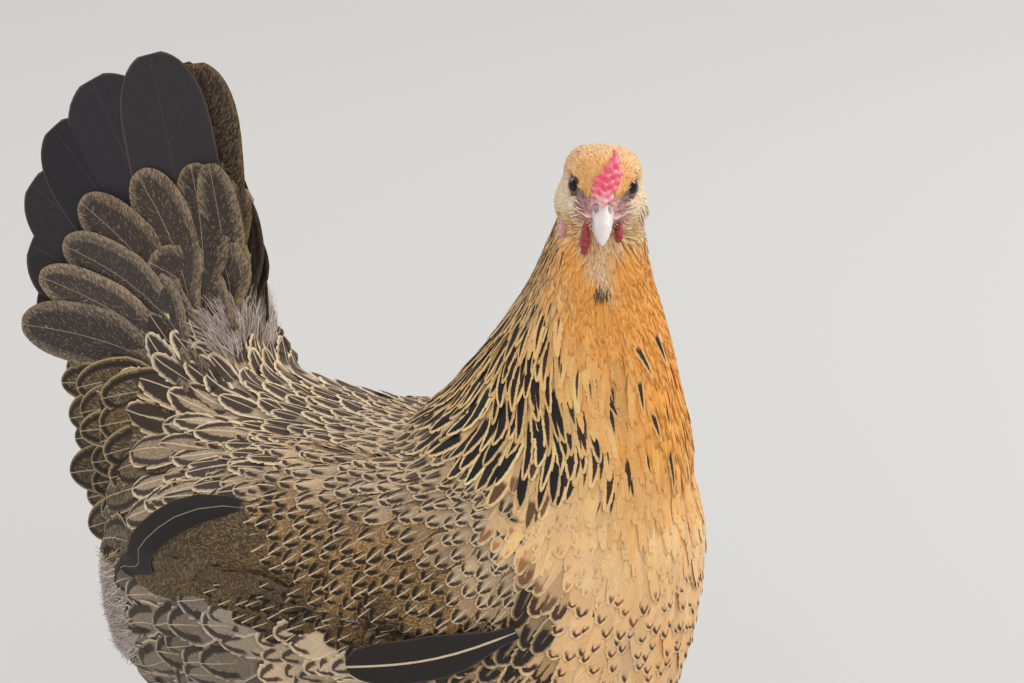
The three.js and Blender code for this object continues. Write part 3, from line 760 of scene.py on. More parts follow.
class Looks(Enum):
    """The feather looks of the hen, by place."""

    HACKLE_TOP = Look((0.7, 0.42, 0.18), (0.014, 0.013, 0.017), (0.82, 0.54, 0.27), 0.2, 0.26, 9, 0.15, 0,
        0, 17, 2.5, 1.6, 2.4, 0.7, 0.2, 0.16)
    HACKLE = Look((0.86, 0.54, 0.22), (0.01, 0.01, 0.014), (0.9, 0.62, 0.3), 0.2, 0.8, 9, 0.26, 0, 0, 34,
        5.4, 4.3, 3.4, 0.6, 0.1)
    HACKLE_CAPE = Look((0.88, 0.58, 0.27), (0.01, 0.01, 0.014), (0.92, 0.68, 0.38), 0.2, 1.05, 9, 0.4, 0,
        0, 34, 7.4, 6.2, 3.6, 0.5, 0.1)
    THROAT_GOLD = Look((0.92, 0.4, 0.085), (0.6, 0.24, 0.06), (0.9, 0.48, 0.15), 0, 9, 9, 1, 0, 0, 15, 1.7,
        1.2, 2.2, 0.8, vary=0.07)
    NECK_GOLD = Look((0.88, 0.395, 0.08), (0.6, 0.25, 0.06), (0.92, 0.5, 0.16), 0, 9, 9, 1, 0, 0, 28, 2.9,
        2, 2.6, 0.8, vary=0.06)
    NECK_STREAK = Look((0.86, 0.46, 0.15), (0.035, 0.024, 0.022), (0.9, 0.56, 0.25), 0.25, 0.75, 9, 0.42,
        0, 0, 30, 4.4, 3.4, 3, 0.8, 0.1, 0.1)
    NECK_LOW = Look((0.92, 0.5, 0.17), (0.6, 0.25, 0.06), (0.94, 0.62, 0.32), 0.25, 9, 9, 1, 0, 0, 28, 4.2,
        2.9, 2.4, 0.7, vary=0.06)
    BREAST_TOP = Look((0.94, 0.6, 0.29), (0.66, 0.32, 0.14), (0.95, 0.7, 0.42), 0.3, 1, 0.8, 0.84, 0, 0,
        28, 6, 4.4, 2.5, 0.5, vary=0.05)
    BREAST = Look((0.9, 0.55, 0.27), (0.085, 0.048, 0.03), (0.94, 0.68, 0.4), 0.4, 1, 1.3, 0.8, 0, 0, 25,
        9.4, 6.4, 2.8, 0.35, vary=0.06)
    BREAST_LOW = Look((0.68, 0.45, 0.24), (0.04, 0.028, 0.022), (0.9, 0.66, 0.4), 0.8, 1.5, 2.3, 0.62, 0,
        0.05, 25, 11, 8.6, 3.2, 0.2, 0.1, 0.1)
    BREAST_SIDE = Look((0.29, 0.195, 0.1), (0.028, 0.019, 0.016), (0.68, 0.49, 0.28), 0.7, 1.3, 2.8, 0.45,
        0, 0.05, 23, 10, 7, 3.2, 0.2, 0.1, 0.14)
    FLANK = Look((0.62, 0.465, 0.31), (0.085, 0.06, 0.043), (0.82, 0.65, 0.45), 0.9, 2, 2, 0.6, 0, 0.15,
        28, 13, 9.6, 3.6, 0.35, 0.4, 0.14)
    FLUFF = Look((0.205, 0.153, 0.114), (0.052, 0.038, 0.029), (0.58, 0.465, 0.34), 1.1, 1.9, 3.4, 0.45,
        0.2, 0.5, 40, 22, 14, 5, 0.4, 0.4, 0.2)
    BELLY = Look((0.34, 0.27, 0.21), (0.16, 0.12, 0.09), (0.48, 0.4, 0.31), 1.5, 2, 2, 0.6, 0.1, 0.2, 24,
        12, 9, 5, 0.3, vary=0.2)
    THIGH = Look((0.34, 0.27, 0.2), (0.14, 0.1, 0.08), (0.46, 0.38, 0.29), 0.8, 1.3, 1.5, 0.6, 0.05, 0.2,
        14, 6.5, 4.4, 3.6, 0.4, vary=0.2)
    BACK_TOP = Look((0.6, 0.43, 0.26), (0.075, 0.052, 0.04), (0.78, 0.61, 0.4), 0.7, 1.2, 9, 0.45, 0.16,
        0.15, 19, 6.6, 5.4, 3, 0.5, 0.15)
    BACK = Look((0.54, 0.39, 0.25), (0.07, 0.046, 0.034), (0.92, 0.72, 0.46), 0.9, 1.4, 9, 0.33, 0.22,
        0.35, 25, 10, 8.2, 3.4, 0.5, 0.1, 0.18)
    SADDLE = Look((0.39, 0.28, 0.19), (0.062, 0.043, 0.032), (0.9, 0.73, 0.49), 1, 1.4, 2.2, 0.28, 0.26,
        0.6, 38, 15, 12, 4, 0.5, 0.1, 0.15)
    CUSHION = Look((0.06, 0.04, 0.022), (0.03, 0.021, 0.015), (0.5, 0.36, 0.19), 0.85, 1.8, 2, 0.3, 0.18,
        0.8, 46, 21, 13, 6, 0.4, 0.1, 0.2)
    CUSHION_LOW = Look((0.064, 0.041, 0.022), (0.027, 0.019, 0.013), (0.42, 0.3, 0.15), 0.9, 1.8, 2.2,
        0.25, 0.16, 0.8, 50, 22, 14, 9, 0.4, 0.1, 0.2)
    COVERT = Look((0.11, 0.083, 0.066), (0.054, 0.042, 0.038), (0.34, 0.25, 0.165), 2.6, 4.6, 99, 0, 0.12,
        1, 44, 22, 12, 4.6, 0.25, vary=0.18)
    DOWN = Look((0.56, 0.47, 0.43), (0.36, 0.28, 0.25), (0.58, 0.48, 0.43), 0, 9, 9, 1, 0, 0, 16, 0.55,
        0.85, 6, 1, vary=0.25)
    RECTRIX = Look((0.027, 0.024, 0.028), (0.012, 0.01, 0.01), (0.075, 0.056, 0.05), 0.9, 99, 9, 0, 0.05,
        0, 0, 0, 0, 0, vary=0.22)
    RECTRIX_EDGE = Look((0.03, 0.024, 0.021), (0.02, 0.016, 0.014), (0.2, 0.125, 0.06), 3.2, 99, 9, 0, 0.1,
        1, 0, 0, 0, 0)
    SECONDARY = Look((0.066, 0.042, 0.023), (0.022, 0.016, 0.012), (0.36, 0.23, 0.1), 0, 99, 9, 0, 0.06, 1,
        0, 0, 0, 0)
    TERTIAL = Look((0.075, 0.048, 0.028), (0.016, 0.013, 0.013), (0.42, 0.27, 0.12), 0, 0, 99, 0.15, 0.14,
        0.9, 0, 0, 0, 0)
    PRIMARY = Look((0.022, 0.019, 0.019), (0.014, 0.012, 0.012), (0.08, 0.06, 0.042), 0.5, 9, 9, 0, 0.38,
        0.1, 0, 0, 0, 0)
    WING_FRONT = Look((0.52, 0.37, 0.225), (0.06, 0.042, 0.03), (0.82, 0.63, 0.39), 0.25, 0.55, 1.4, 0.55,
        0.36, 0.5, 14, 7.5, 5.6, 2.6, 0.3, 0.1)
    WING_COVERT = Look((0.16, 0.092, 0.042), (0.02, 0.014, 0.01), (0.72, 0.43, 0.16), 0.18, 0.55, 1.8,
        0.58, 0.4, 0.9, 17, 9, 6.6, 2.8, 0.35, 0.1, 0.28)
    WING_LOW = Look((0.042, 0.026, 0.012), (0.012, 0.009, 0.007), (0.32, 0.175, 0.055), 0.1, 0.5, 1.5,
        0.62, 0.28, 0.85, 22, 10, 7.2, 3.6, 0.25, 0.1, 0.2)
    SCAPULAR = Look((0.58, 0.42, 0.28), (0.075, 0.052, 0.038), (0.93, 0.74, 0.5), 0.4, 0.8, 1.5, 0.5, 0.36,
        0.6, 19, 9, 7, 3, 0.35, 0.1, 0.2)
    FOREHEAD = Look((0.97, 0.49, 0.185), (0.42, 0.17, 0.05), (0.92, 0.54, 0.26), 0, 9, 9, 1, 0, 0, 4.2,
        0.9, 0.66, 0.6, 0.85, vary=0.14)
    CROWN = Look((0.95, 0.5, 0.2), (0.13, 0.085, 0.065), (0.93, 0.66, 0.42), 0.12, 0.3, 0.3, 0.72, 0, 0,
        5.4, 1.2, 0.85, 1.2, 0.75, vary=0.2)
    CROWN_PALE = Look((0.94, 0.6, 0.33), (0.26, 0.16, 0.11), (0.92, 0.74, 0.5), 0, 9, 9, 1, 0, 0, 5, 1.1,
        0.8, 0.7, 0.7, vary=0.08)
    CHEEK = Look((0.99, 0.73, 0.51), (0.7, 0.48, 0.34), (0.97, 0.8, 0.62), 0, 9, 9, 1, 0, 0, 4.8, 0.75,
        0.6, 0.7, 0.9)
    EAR = Look((0.98, 0.76, 0.54), (0.7, 0.5, 0.32), (0.96, 0.84, 0.68), 0, 9, 9, 1, 0, 0, 7, 0.9, 0.66,
        1.3, 0.9, vary=0.08)
    HAIR = Look((0.17, 0.12, 0.115), (0.1, 0.07, 0.07), (0.3, 0.22, 0.2), 0, 9, 9, 1, 0, 0, 2.2, 0.24, 1.2,
        0.5, 0.9, vary=0.6)
    EAR_LONG = Look((0.97, 0.76, 0.55), (0.7, 0.5, 0.32), (0.96, 0.84, 0.68), 0, 9, 9, 1, 0, 0, 9, 0.75,
        0.6, 3, 0.95, vary=0.07)
    BUFF_ROWS = Look((0.84, 0.54, 0.27), (0.1, 0.055, 0.032), (0.88, 0.64, 0.38), 0, 0.42, 1, 0.55, 0, 0,
        6.8, 1.15, 1.1, 1.9, 0.8, vary=0.25)
    CHIN = Look((0.88, 0.58, 0.32), (0.3, 0.16, 0.07), (0.78, 0.54, 0.3), 0, 9, 9, 1, 0, 0, 7, 0.8, 0.7,
        1.4, 0.9, vary=0.14)
    BEARD = Look((0.9, 0.61, 0.37), (0.4, 0.26, 0.15), (0.84, 0.6, 0.36), 0, 9, 9, 1, 0, 0, 8, 0.8, 0.7, 2,
        0.95)
    BEARD_DARK = Look((0.19, 0.14, 0.1), (0.07, 0.06, 0.05), (0.5, 0.36, 0.22), 0, 9, 9, 1, 0, 0, 6, 0.6,
        0.8, 3.6, 0.95, vary=0.45)
    LONE_STREAK = Look((0.86, 0.46, 0.15), (0.035, 0.024, 0.022), (0.9, 0.56, 0.25), 0.25, 0.75, 9, 0.42,
        0, 0, 30, 4.4, 12, 3.5, 0.8, 0.1, 0.1)
    BRISTLE = Look((0.92, 0.68, 0.5), (0.1, 0.055, 0.032), (0.88, 0.64, 0.38), 0, 0.42, 1, 0.55, 0, 0, 2.6,
        0.6, 1.5, 1.9, 0.8, vary=0.25)


Guides = tuple[tuple[Looks, tuple[tuple[float, ...], ...]], ...]  # places, and the way the feathers lie there

BODY_GUIDES: Guides = (
    (Looks.THROAT_GOLD, (
        (-17, -118, 360, -0.1, 0, -1), (-10, -129, 356, -0.05, -0.2, -1),
        (-27, -116, 358, -0.15, -0.1, -1), (-8, -128, 368, 0, -0.1, -1), (14, -124, 366, 0.1, 0, -1),
        (-24, -114, 370, -0.1, 0, -1), (-8, -134, 345, 0, -0.35, -1), (20, -124, 345, 0.2, -0.2, -1),
        (-26, -122, 347, -0.15, -0.2, -1),
    )),
    (Looks.NECK_GOLD, (
        (0, -143, 318, 0, -0.2, -1), (28, -128, 312, 0.25, -0.1, -1), (-25, -133, 318, -0.25, -0.1, -1),
    )),
    (Looks.NECK_LOW, (
        (0, -146, 284, 0, 0, -1), (30, -134, 280, 0.2, 0, -1), (-24, -138, 290, -0.05, -0.1, -1),
    )),
    (Looks.NECK_STREAK, ((-28, -136, 302, -0.1, -0.2, -1), (-24, -127, 326, -0.1, -0.1, -1))),
    (Looks.HACKLE_TOP, ((-20, -88, 368, -0.25, 0.05, -1),)),
    (Looks.HACKLE, (
        (-27, -98, 350, -0.2, 0, -1), (-33, -106, 332, -0.15, -0.1, -1), (-37, -113, 316, -0.1, -0.25, -1),
    )),
    (Looks.HACKLE_CAPE, ((-40, -116, 307, -0.05, -0.4, -1), (-30, -130, 305, -0.05, -0.3, -1))),
    (Looks.NECK_STREAK, ((42, -112, 308, 0.3, 0, -1), (48, -112, 280, 0.3, 0, -1))),
    (Looks.BREAST_TOP, ((-50, -110, 284, -0.2, 0.1, -1), (-36, -130, 278, -0.2, 0.1, -1))),
)

MIRRORED_GUIDES: Guides = (
    (Looks.HACKLE_TOP, ((19, -100, 386, 0.1, 0.1, -1), (23, -94, 368, 0.2, 0.1, -1))),
    (Looks.HACKLE, ((32, -88, 346, 0.3, 0.1, -1),)),
    (Looks.HACKLE_TOP, ((0, -80, 385, 0, 0.2, -1),)),
    (Looks.HACKLE, (
        (0, -68, 358, 0, 0.35, -1), (41, -88, 326, 0.2, 0, -1), (24, -60, 332, 0.3, 0.4, -1),
        (0, -52, 332, 0, 0.7, -0.8),
    )),
    (Looks.HACKLE_CAPE, (
        (45, -94, 313, 0.15, -0.2, -1), (40, -70, 316, 0.25, 0.2, -1), (24, -50, 320, 0.25, 0.45, -0.9),
        (0, -42, 320, 0, 1, -0.5),
    )),
    (Looks.WING_FRONT, ((54, -92, 290, 0.3, 0.4, -0.9),)),
    (Looks.BACK_TOP, ((48, -64, 297, 0.3, 0.7, -0.6), (28, -36, 303, 0.15, 1, -0.4))),
    (Looks.BREAST_TOP, ((0, -146, 266, 0, 0.05, -1), (32, -138, 264, 0.2, 0.15, -1))),
    (Looks.BREAST, (
        (0, -144, 238, 0, 0.1, -1), (0, -142, 208, 0, 0.2, -1), (36, -134, 240, 0.2, 0.25, -1),
        (40, -132, 214, 0.2, 0.3, -1),
    )),
    (Looks.BREAST_SIDE, ((61, -108, 240, 0.2, 0.45, -0.9),)),
    (Looks.BREAST, ((0, -134, 180, 0, 0.5, -0.9),)),
    (Looks.BREAST_LOW, ((36, -128, 182, 0.15, 0.5, -0.9),)),
    (Looks.BREAST_SIDE, ((58, -110, 220, 0.2, 0.45, -0.8), (53, -117, 232, 0.2, 0.4, -0.9))),
    (Looks.BREAST_LOW, ((50, -120, 206, 0.2, 0.45, -0.8),)),
    (Looks.BREAST_SIDE, ((62, -108, 200, 0.2, 0.6, -0.7),)),
    (Looks.BREAST_LOW, ((64, -92, 165, 0.1, 0.8, -0.5), (30, -105, 145, 0, 0.9, -0.3))),
    (Looks.BELLY, ((0, -60, 128, 0, 1, 0),)),
    (Looks.FLANK, (
        (80, -55, 190, 0.05, 0.9, -0.35), (70, -40, 150, 0, 0.9, -0.4), (82, -18, 190, 0, 0.95, -0.25),
    )),
    (Looks.FLUFF, (
        (78, 10, 155, 0, 0.85, -0.5), (82, 45, 190, 0, 0.97, -0.2), (72, 80, 190, 0, 0.95, -0.3),
        (60, 110, 165, -0.1, 0.85, -0.5), (0, 150, 175, 0, 0.6, -0.8), (30, 140, 205, 0, 0.8, -0.6),
    )),
    (Looks.BELLY, ((0, 20, 122, 0, 1, 0), (0, 100, 126, 0, 1, 0.1))),
    (Looks.THIGH, (
        (66, 0, 145, 0.05, 0.35, -1), (45, 25, 112, 0, 0.3, -1), (45, -10, 115, 0, 0.2, -1),
        (25, 10, 130, 0, 0.3, -1),
    )),
    (Looks.BACK_TOP, ((0, -14, 294, 0, 1, -0.1), (45, -15, 285, 0.2, 1, -0.2))),
    (Looks.BACK, ((0, 25, 286, 0, 1, 0), (45, 25, 278, 0.15, 1, -0.15), (0, 62, 290, 0, 0.9, 0.5))),
    (Looks.SADDLE, ((45, 62, 278, 0.1, 1, -0.1), (66, 55, 262, 0.1, 1, -0.3))),
    (Looks.BACK, ((0, 78, 302, 0, 0.3, 1), (34, 88, 298, 0.05, 0.9, 0.35))),
    (Looks.CUSHION, (
        (60, 94, 262, 0, 1, -0.15), (52, 118, 280, -0.05, 1, 0.1), (60, 112, 240, -0.05, 1, -0.3),
        (35, 160, 270, -0.1, 0.9, 0.1),
    )),
    (Looks.CUSHION_LOW, ((40, 150, 235, -0.2, 0.8, -0.5), (0, 178, 262, 0, 0.5, -0.6))),
    (Looks.COVERT, (
        (0, 86, 330, 0, 0.1, 1), (22, 100, 340, 0, 0.35, 1), (38, 110, 310, 0, 0.7, 0.75),
        (30, 150, 320, -0.05, 0.9, 0.5), (38, 150, 295, -0.1, 1, 0.15), (0, 180, 300, 0, 0.9, 0.4),
    )),
)

WING_GUIDES: Guides = (
    (Looks.WING_FRONT, (
        (74, -108, 250, 0.3, 0.6, -0.75), (72, -90, 275, 0.2, 0.75, -0.6), (78, -98, 262, 0.1, 0.7, -0.7),
    )),
    (Looks.WING_COVERT, ((84, -84, 244, 0.1, 0.75, -0.65),)),
    (Looks.SCAPULAR, ((80, -66, 280, 0.1, 0.75, -0.6),)),
    (Looks.WING_COVERT, (
        (86, -72, 264, 0.1, 0.75, -0.6), (90, -36, 262, 0, 0.8, -0.6), (91, 0, 260, 0, 0.85, -0.5),
        (88, 40, 256, 0, 0.9, -0.4), (84, -95, 222, 0.1, 0.8, -0.6), (88, -60, 252, 0, 0.75, -0.66),
        (90, -50, 235, 0, 0.8, -0.58),
    )),
    (Looks.WING_LOW, ((88, -60, 224, 0, 0.85, -0.52),)),
    (Looks.SCAPULAR, ((82, -25, 282, 0, 0.85, -0.5),)),
    (Looks.WING_COVERT, ((92, -10, 245, 0, 0.78, -0.6),)),
    (Looks.WING_LOW, ((90, -10, 230, 0, 0.88, -0.45),)),
    (Looks.SCAPULAR, ((80, 22, 278, 0, 0.95, -0.3),)),
    (Looks.WING_LOW, ((90, 30, 240, 0, 0.9, -0.4),)),
)

HEAD_GUIDES: Guides = (  # in the head's frame
    (Looks.FOREHEAD, (
        (5, -9, 4, 0.55, 0.5, 0.7), (8, -5, 5, 0.6, 0.7, 0.5), (7, -7, 0, 0.5, 0.3, 0.8),
        (0, 0, 12, 0, 1, 0.2), (7, 2, 10, 0.4, 1, 0.1), (12, 0, 5, 0.5, 1, 0.2),
    )),
    (Looks.CROWN, (
        (0, 6, 13, 0, 1, 0), (0, 14, 13, 0, 1, -0.2), (9, 7, 11, 0.3, 1, -0.1), (12, 13, 8, 0.3, 1, -0.1),
    )),
    (Looks.CROWN_PALE, ((0, 24, 9, 0, 1, -0.4),)),
    (Looks.CROWN, ((13, 8, 5, 0.2, 1, -0.1),)),
    (Looks.CROWN_PALE, ((14, 16, 3, 0, 1, -0.4),)),
    (Looks.HACKLE_TOP, ((0, 34, -5, 0, 0.5, -1), (16, 28, -10, 0, 0.6, -1))),
    (Looks.CHEEK, (
        (14, 3, -8, 0.4, 0.9, -0.2), (16, 9, -4, 0.2, 1, -0.2), (12, -3, -10, 0.5, 0.8, -0.1),
        (15, 3, -12, 0.5, 0.8, -0.4),
    )),
    (Looks.BUFF_ROWS, ((16, 4, -19, 0.5, 0.8, -0.6),)),
    (Looks.EAR, ((19, 15, -8, 0.2, 1, -0.4), (20, 14, -14, 0.2, 0.8, -0.7))),
    (Looks.BUFF_ROWS, (
        (12, -1, -17, 0.6, 0.7, -0.1), (13, 0, -22, 0.6, 0.7, -0.3), (10, -3, -19, 0.6, 0.5, -0.4),
    )),
    (Looks.CHIN, ((0, -9, -19, 0, 0.1, -1), (6, -6, -22, 0.2, 0.2, -1))),
    (Looks.BEARD, ((0, -4, -28, 0, -0.1, -1),)),
    (Looks.THROAT_GOLD, (
        (12, 2, -28, 0.2, 0.2, -1), (8, -4, -27, 0.2, 0.1, -1), (11, -2, -25, 0.3, 0.2, -1),
    )),
    (Looks.HACKLE_TOP, ((19, 18, -24, 0, 0.3, -1),)),
)

EAR_GUIDES: Guides = ((Looks.EAR_LONG, ((19.5, 11, -12, 0.25, 0.1, -1), (17.5, 7, -13, 0.3, 0.1, -1))),)


class Lie:
    """The lie and looks of a coat, read between its listed guides."""

    def __init__(self, guides: Guides, mirrored: Guides = (), of_head: bool = False) -> None:
        """Lays the guides out.

        Args:
            guides: the guides.
            mirrored: those that count on both sides.
            of_head: whether they are set out in the head's frame, and closer together.
        """
        spots, lies, looks = [], [], []
        for table, flips in ((guides, (1,)), (mirrored, (1, -1))):
            for look, rows in table:
                for x, y, z, *lie in rows:
                    for flip in flips if x else (1,):
                        spots.append((x * flip, y, z))
                        lies.append((lie[0] * flip, *lie[1:]))
                        looks.append(look.value.row())
        self.spots = np.array(spots, float)
        self.lies = unit(np.array(lies, float))
        self.looks = np.array(looks)
        self.of_head = of_head
        self.softness = 2.0 if of_head else 9.0  # mm

    def weights(self, plan: Array) -> Array:
        """Each guide's share at each plan point."""
        points = plan_to_head(plan) if self.of_head else plan
        gap = ((points[:, None, :] - self.spots[None]) ** 2).sum(axis=2) + self.softness**2
        share = gap**-3.0
        return share / share.sum(axis=1, keepdims=True)

    def along(self, plan: Array) -> Array:
        """The way the feathers lie at plan points."""
        found = unit(self.weights(plan) @ self.lies)
        return found @ HEAD_TURN.T if self.of_head else found

    def looks_at(self, plan: Array) -> Array:
        """The looks' numbers at plan points, a row for each."""
        return self.weights(plan) @ self.looks


BODY_LIE = Lie(BODY_GUIDES, MIRRORED_GUIDES)
WING_LIE = Lie((), WING_GUIDES)
HEAD_LIE = Lie(EAR_GUIDES, HEAD_GUIDES, of_head=True)
TONE_BATCH = 20000  # points coloured at a time


def body_tone(plan: Array) -> Array:
    """The undercoat's colour on the skin, a little darker than the feathers over it."""
    tone = []
    for part in np.split(plan, range(TONE_BATCH, len(plan), TONE_BATCH)):
        made = BODY_LIE.looks_at(part)[:, COLUMNS["ground"]]
        for lie, inside in (
            (WING_LIE, ramp(on_wing(part), -3, 2)), (HEAD_LIE, ramp(above_throat(part), -5, 5))
        ):
            share = inside[:, None]
            made = made * (1 - share) + lie.looks_at(part)[:, COLUMNS["ground"]] * share
        tone.append(made * (0.6 + 0.35 * share))
    return np.concatenate(tone)


# ---------- feathers ----------


class Ground:
    """The skin as ground that feathers stand on and lie along."""

    CROWDING = 7.0  # how many roots are tried for each that finds room
    ELBOW_ROOM = 0.82  # of the pitch, that no second root comes within

    def __init__(self, skin: Piece) -> None:
        """Reads the skin's faces once."""
        self.places, self.normals = places_of(skin), normals_of(skin)
        skin.data.calc_loop_triangles()
        self.corners = read(skin.data.loop_triangles, "vertices", 3, int)
        self.tree = BVHTree.FromPolygons(self.places.tolist(), self.corners.tolist())
        a, b, c = (self.places[self.corners[:, i]] for i in range(3))
        self.areas = np.linalg.norm(np.cross(b - a, c - a), axis=1) / 2
        self.face_normals = unit(self.normals[self.corners].sum(axis=1))
        self.centres = to_plan(self.places[self.corners].mean(axis=1))

    def onto(self, points: Array) -> tuple[Array, Array]:
        """Points brought to the skin.

        Args:
            points: places in metres.

        Returns:
            The nearest places on the skin and the smooth normals there.
        """
        nearest = [self.tree.find_nearest(Vector(point)) for point in points]
        found = np.array([tuple(place) for place, _, _, _ in nearest])
        return found, self.face_normals[[face for _, _, face, _ in nearest]]

    def scattered(self, rng: Chance, chosen: Array, pitch: Array | float) -> tuple[Array, Array]:
        """Evenly spread roots.

        Args:
            rng: the source of chance.
            chosen: whether each face may hold a root.
            pitch: the distance between neighbours in mm, for all or for each chosen face.

        Returns:
            The roots in metres and the smooth normals there.
        """
        usable = np.flatnonzero(chosen)
        pitch = np.broadcast_to(pitch, len(usable))
        wanted = self.CROWDING * self.areas[usable] / (pitch * MM) ** 2
        counts = np.floor(wanted + rng.random(len(wanted))).astype(int)
        faces = np.repeat(usable, counts)
        share = rng.random((len(faces), 2))
        folded = share.sum(axis=1) > 1
        share[folded] = 1 - share[folded]
        weights = np.stack([1 - share.sum(axis=1), share[:, 0], share[:, 1]], axis=1)[:, :, None]
        points = (self.places[self.corners[faces]] * weights).sum(axis=1)
        normals = unit((self.normals[self.corners[faces]] * weights).sum(axis=1))
        order = rng.permutation(len(points))
        points, normals = points[order], normals[order]
        reach = np.repeat(pitch, counts)[order] * MM * self.ELBOW_ROOM
        tree = KDTree(len(points))
        for index, point in enumerate(points):
            tree.insert(point, index)
        tree.balance()
        free = np.ones(len(points), dtype=bool)
        kept = []
        for index, point in enumerate(points):
            if free[index]:
                kept.append(index)
                for _, other, _ in tree.find_range(point, reach[index]):
                    free[other] = False
        return points[kept], normals[kept]


@dataclass
class Plumes:
    """Feathers ready to be meshed: their spines, faces and looks, all in the row's frame."""

    spines: Array  # feather, ring, xyz in metres
    faces: Array  # feather, ring, the way the upper side faces
    lengths: Array  # mm
    looks: Array
    rings: Array  # where each ring lies along the feather, from 0 to 1

    def part(self, chosen: Array) -> "Plumes":
        """Some of the feathers."""
        return Plumes(
            self.spines[chosen], self.faces[chosen], self.lengths[chosen], self.looks[chosen], self.rings
        )

    def plan(self) -> Array:
        """The roots' places in the plan."""
        return to_plan(self.spines[:, 0])

    def look(self, name: str) -> Array:
        """One of the looks' numbers, or a colour, for each feather."""
        return self.looks[:, COLUMNS[name]]


# Close pairs of rings make the small steps of a frayed outline.
FINE_RINGS = np.array((0, 0.3, 0.6, 0.82, 0.985))
SMALL_RINGS = np.array((0, 0.28, 0.48, 0.62, 0.63, 0.75, 0.76, 0.87, 0.88, 0.955, 0.996))
TUFT_RINGS = np.array((0, 0.4, 0.75, 0.99))
QUILL_RINGS = np.array((
    0, 0.12, 0.24, 0.36, 0.48, 0.58, 0.66, 0.73, 0.79, 0.84, 0.88, 0.91, 0.935, 0.957, 0.975, 0.988, 0.997,
))
FRAY_STEP = 0.02  # rings closer than this are a pair


def laid(
    ground: Ground, rng: Chance, rooted: tuple[Array, Array, Array], lie: Lie, rings: Array,
    toss: float = 4.0, cling: float = 1.0, lean: Spot = (0, 0, 0),
) -> Plumes:
    """Lays feathers from their roots along the lie of the coat.

    Args:
        ground: the skin below.
        rng: the source of chance.
        rooted: root places in metres, the skin's normals there and a row of look numbers for each.
        lie: the lie of the coat.
        rings: where the rings lie along each feather.
        toss: spread of the feathers' own turn, in degrees.
        cling: 1 follows the skin all the way, less leaves it towards the tip.
        lean: added to the lie.

    Returns:
        The feathers.
    """
    place, up, looks = rooted
    count = len(place)
    lengths = looks[:, COLUMNS["length"]] * (1 + 0.10 * rng.standard_normal(count))
    lift = looks[:, COLUMNS["lift"]] * (1 + 0.10 * rng.standard_normal(count))
    turn = np.radians(toss) * rng.standard_normal(count)[:, None]
    spines = np.empty((count, len(rings), 3))
    faces = np.empty_like(spines)
    for index, ring in enumerate(rings):
        if index:
            stride = ((ring - rings[index - 1]) * lengths * MM)[:, None]
            way = lie.along(to_plan(place)) + lean
            way = unit(way - (way * up).sum(axis=1, keepdims=True) * up)
            way = way * np.cos(turn) + np.cross(up, way) * np.sin(turn)
            place, found = ground.onto(place + way * stride)
            up = unit(up + found * 1.5)
            free, free_way = (place, way) if index == 1 else (free + free_way * stride, free_way)
        held = 1 - (1 - cling) * ramp(np.array(ring), 0.3, 1.0)
        base = place * held + free * (1 - held) if index else place
        rise = lift * (1 - (1 - ring) ** 1.7)
        spines[:, index] = base + up * (rise * MM)[:, None]
        faces[:, index] = up
    return Plumes(spines, faces, lengths, looks, rings)


def vane_width(rings: Array, point: Array) -> Array:
    """Half widths along a feather, as a share of the widest.

    Args:
        rings: where the rings lie along the feather, from 0 to 1.
        point: how pointed each feather is.

    Returns:
        A row for each feather and a column for each ring.
    """
    grown = 0.3 + 0.7 * ramp(rings, 0.0, 0.5)
    blunt = grown * np.sqrt(np.clip(1 - np.clip((rings - 0.72) / 0.285, 0, 1) ** 2.4, 0, 1))
    lance = grown * np.clip(1 - np.clip((rings - 0.42) / 0.62, 0, 1) ** 1.9, 0, 1)
    return blunt[None, :] * (1 - point[:, None]) + lance[None, :] * point[:, None] + 0.015


